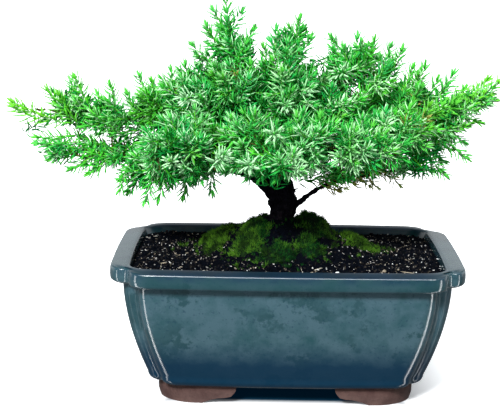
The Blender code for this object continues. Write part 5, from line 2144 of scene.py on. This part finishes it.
    def add_twigs(self, name: str, shoots: list[Shoot]) -> Iterator[Shoot]:
        """Carries a tuft's shoots on a branch into its middle and on twigs from that branch or the limb.

        Args:
            name: The tuft's node.
            shoots: Its shoots.

        Yields:
            The small shoots that clothe the branch and the twigs.
        """
        middle = np.array(middle_of(name))
        stem, place = self.wood.nearest(middle)
        start, radius = self.wood.routes[stem][place, :3], self.wood.routes[stem][place, 3]
        shares = np.linspace(0, 1, self.twig_points)[:, None]
        lean = (self.rng.normal(0, 0.10, 3) - UP * 0.12) * np.linalg.norm(middle - start)
        spine = start + (middle - start) * shares + lean * np.sin(math.pi * shares)
        thick, thin = self.branch_radii
        sizes = np.linspace(min(radius * 0.8, thick), thin, self.twig_points)
        self.wood.twigs[stem].append(np.column_stack([spine, sizes]))
        stems = np.concatenate([r[8:, :3] for r in self.wood.routes.values()])
        near = np.linalg.norm(stems - middle, axis=1) < self.anchor_reach
        anchors = np.concatenate([spine, stems[near]])
        for shoot in shoots:
            away = shoot.start - anchors
            gap = np.linalg.norm(away, axis=1)
            best = int((gap - 0.45 * (away @ shoot.along)).argmin())
            ahead = max(float(away[best] @ shoot.along) / max(gap[best], 1e-6), 0.1)
            control = shoot.start - shoot.along * gap[best] * 0.4 * ahead
            way = (1 - shares) ** 2 * anchors[best] + 2 * shares * (1 - shares) * control
            way = way + shares**2 * shoot.start
            if not self.inside(way[2:]):
                continue
            sizes = np.linspace(*self.twig_radii, self.twig_points)
            self.wood.twigs[stem].append(np.column_stack([way, sizes]))
            if gap[best] > 0.012:
                yield from self.leafy(way, 0.25, self.twig_needle)
        yield from self.leafy(spine[2:], 0.25, self.twig_needle)

    def leafy(self, way: Array, middle_tint: float, needle: float) -> Iterator[Shoot]:
        """Small shoots along a twig, so that none of it is bare.

        Args:
            way: Points along the twig.
            middle_tint: The shoots' middle tint.
            needle: Length of their needles.

        Yields:
            The shoots.
        """
        length = np.linalg.norm(way[-1] - way[0])
        for share in np.arange(0.3, 1.0, self.inner_apart * 0.7 / max(length, 1e-4)):
            k = int(share * (len(way) - 1))
            ahead = unit(way[k + 1] - way[k])
            along = unit(ahead + self.rng.normal(0, 0.50, 3) + UP * 0.25)
            size = self.rng.uniform(1.0, 1.5) * needle
            if self.inside(np.array([way[k], way[k] + along * size]), 0.0015):
                tint = self.tint(middle_tint, 0.15, way[k])
                yield Shoot(way[k] + along * size, along, size, tint, 0.05, 0.0, 0.3, needle)

    def dry_shoots(self) -> Iterator[Shoot]:
        """Dry shoots along the bare low limb on the right."""
        limb = self.wood.routes["limb_right_low"][:, :3]
        for k in range(int(len(limb) * 0.38), int(len(limb) * 0.80), 2):
            ahead = unit(limb[k + 1] - limb[k])
            for side in (-1, 1):
                along = unit(ahead + UP * 0.45 * side + self.rng.normal(0, 0.25, 3))
                dry = self.rng.uniform(0.5, 1.0)
                yield Shoot(limb[k] + along * 0.010, along, 0.010, 0.5, 0.1, dry, 0.0, self.dry_needle)

    def build(self) -> None:
        """Builds and dresses every tuft."""
        finish = Needles().material()
        stamp = self.needle()
        for name, shoots in self.grow().items():
            copies = Copies(stamp)
            for shoot in [*shoots, *self.add_twigs(name, shoots)]:
                self.set_needles(copies, shoot)
            tuft = copies.build(f"{name}_needles", self.paint)
            Bench.dress(tuft, finish, Slot.NEEDLES, [name], 0)


# ------------------------------------------------------------------------------------------ drainage
class Drainage:
    """The drain screens and their staples, which keep the CAD's shapes."""

    def build(self) -> None:
        """Gives the screens and the staples their finishes."""
        finishes = {"drain_screen": Moulding().material(), "screen_staple": Wire().material()}
        for name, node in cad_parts.items():
            for prefix, finish in finishes.items():
                if name.startswith(prefix):
                    node.material_slots[0].material = finish
                    LOG.info("%s: refinished", name)


# ------------------------------------------------------------------------------------------ studio
@dataclass
class Studio:
    """A pale floor, soft light from all round with a broad sun, and the camera."""

    aim: tuple[float, float, float] = (-0.0226, 0.0, 0.0064)
    elevation: float = 10.81
    azimuth: float = 0.56
    roll: float = 0.70
    distance: float = 0.8835
    lens: float = 105.13
    datum: Datum = field(default_factory=Datum.of_pot)

    def build(self) -> None:
        """Sets up the floor, the light and the camera."""
        self.build_floor()
        self.build_light()
        self.build_camera()

    def build_floor(self) -> None:
        """A wide plain floor that glows a little, with a painted shadow under the pot, where it is dark navy
        and does not glow.
        """
        floor = Bench.start(bpy.ops.mesh.primitive_plane_add, size=60, location=(0, 0, 0))
        floor.name = "floor"
        floor.visible_glossy = False
        floor.visible_diffuse = False
        g = Graph("floor", Roughness=0.85, Specular_IOR_Level=0.0, Emission_Strength=1.0)
        low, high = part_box("pot")
        over = [g.from_middle(name) - (high[k] - low[k]) / 2 for k, name in enumerate("XY")]
        away = over[0].math("MAXIMUM", over[1])
        pale = g.blend(g.cloud(0.9, 2), (0.88, 0.885, 0.89), (0.90, 0.905, 0.91))
        # Painted shadow: under the pot, between the feet, the floor is painted dark navy and its glow is
        # taken away.
        g.set(Base_Color=g.blend(away.between(-0.037, -0.031), (0.006, 0.040, 0.075), pale))
        g.set(Emission_Color=g.blend(away.between(-0.038, 0.002), (0.0, 0.004, 0.010), (0.80, 0.81, 0.82)))
        floor.data.materials.append(g.material)
        floor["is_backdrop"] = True

    def build_light(self) -> None:
        """A dim sky, a key from the upper left front, a soft top light, and panels for the glaze."""
        world = bpy.data.worlds.new("sky")
        bpy.context.scene.world = world
        world.use_nodes = True
        back = world.node_tree.nodes["Background"]
        back.inputs["Color"].default_value = (0.82, 0.94, 1.0, 1.0)
        back.inputs["Strength"].default_value = 0.28
        self.hang("key", Vector((-0.35, -0.92, 0.82)), "SUN", energy=5.25, angle=math.radians(14))
        self.hang("top", Vector((0.25, 0.10, 1.0)), "SUN", energy=1.0, angle=math.radians(80))
        strips = (
            ((-1.39, -0.45, -0.95), (0.20, 2.6), 26.0),
            ((1.39, -0.45, -0.95), (0.20, 2.6), 26.0),
            ((0.0, -1.00, 1.20), (2.4, 0.5), 100.0),
            ((-2.00, 1.20, 0.50), (2.0, 1.5), 7.0),
            ((2.00, 1.20, 0.50), (2.0, 1.5), 7.0),
            ((0.0, 2.00, 0.40), (3.0, 0.6), 2.2),
        )
        for k, (place, size, power) in enumerate(strips):
            self.panel(f"strip_{k}", place, size, power).visible_diffuse = False
        self.panel("bounce", (0.0, -1.10, 0.06), (2.4, 0.10), 3.5).visible_glossy = False
        bpy.context.scene.view_settings.view_transform = "Standard"

    def panel(self, name: str, place: Point, size: Pair, power: float) -> Piece:
        """Hangs a flat lamp of a width and a height."""
        width, height = size
        shape = {"shape": "RECTANGLE", "size": width, "size_y": height}
        return self.hang(name, Vector(place), "AREA", energy=power, **shape)

    @staticmethod
    def hang(name: str, place: Vector, kind: str, **settings: object) -> Piece:
        """Hangs a light at a place, aimed at the middle of the object.

        Args:
            name: Its name.
            place: Where it hangs.
            kind: The type of light.
            settings: The light's own settings.

        Returns:
            The lamp.
        """
        light = bpy.data.lights.new(name, kind)
        for key, value in settings.items():
            setattr(light, key, value)
        lamp = bpy.data.objects.new(name, light)
        turn = (place - Vector((0, 0, 0.1))).to_track_quat("Z", "Y").to_matrix().to_4x4()
        lamp.matrix_world = Matrix.Translation(place) @ turn
        lamp.visible_camera = False
        bpy.context.scene.collection.objects.link(lamp)
        return lamp

    def build_camera(self) -> None:
        """The camera, a little above the rim and turned by a fraction of a degree."""
        target = Vector(self.datum.from_heap(np.array(self.aim)))
        e, a, r = (math.radians(v) for v in (self.elevation, self.azimuth, self.roll))
        back = Vector((math.sin(a) * math.cos(e), -math.cos(a) * math.cos(e), math.sin(e)))
        right = (-back).cross(Vector((0, 0, 1))).normalized()
        up = right.cross(-back)
        tilted_right = right * math.cos(r) + up * math.sin(r)
        tilted_up = up * math.cos(r) - right * math.sin(r)
        turned = Matrix((tilted_right, tilted_up, back)).transposed().to_4x4()
        data = bpy.data.cameras.new("camera")
        data.lens = self.lens
        data.sensor_width = 36.0
        data.clip_start, data.clip_end = 0.05, 100.0
        camera = bpy.data.objects.new("camera", data)
        camera.matrix_world = Matrix.Translation(target + back * self.distance) @ turned
        bpy.context.scene.collection.objects.link(camera)
        bpy.context.scene.camera = camera


def write_sizes() -> None:
    """Gathers the CAD's box and the visual model's box side by side, but writes nothing."""
    boxes = {"cad": CAD_BOX, "visual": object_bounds()}
    {key: [list(corner) for corner in box] for key, box in boxes.items()}


def main() -> None:
    """Builds the studio, then the object from the pot up."""
    logging.basicConfig(level=logging.INFO, format="%(name)s: %(message)s")
    Studio().build()
    Pot().build()
    Drainage().build()
    Bed().build()
    MossBank().build()
    wood = Wood()
    Foliage(wood).build()
    finish = Bark().material()
    wood.build_trunk(finish)
    wood.build_limbs(finish)
    write_sizes()


if __name__ == "__main__":
    main()
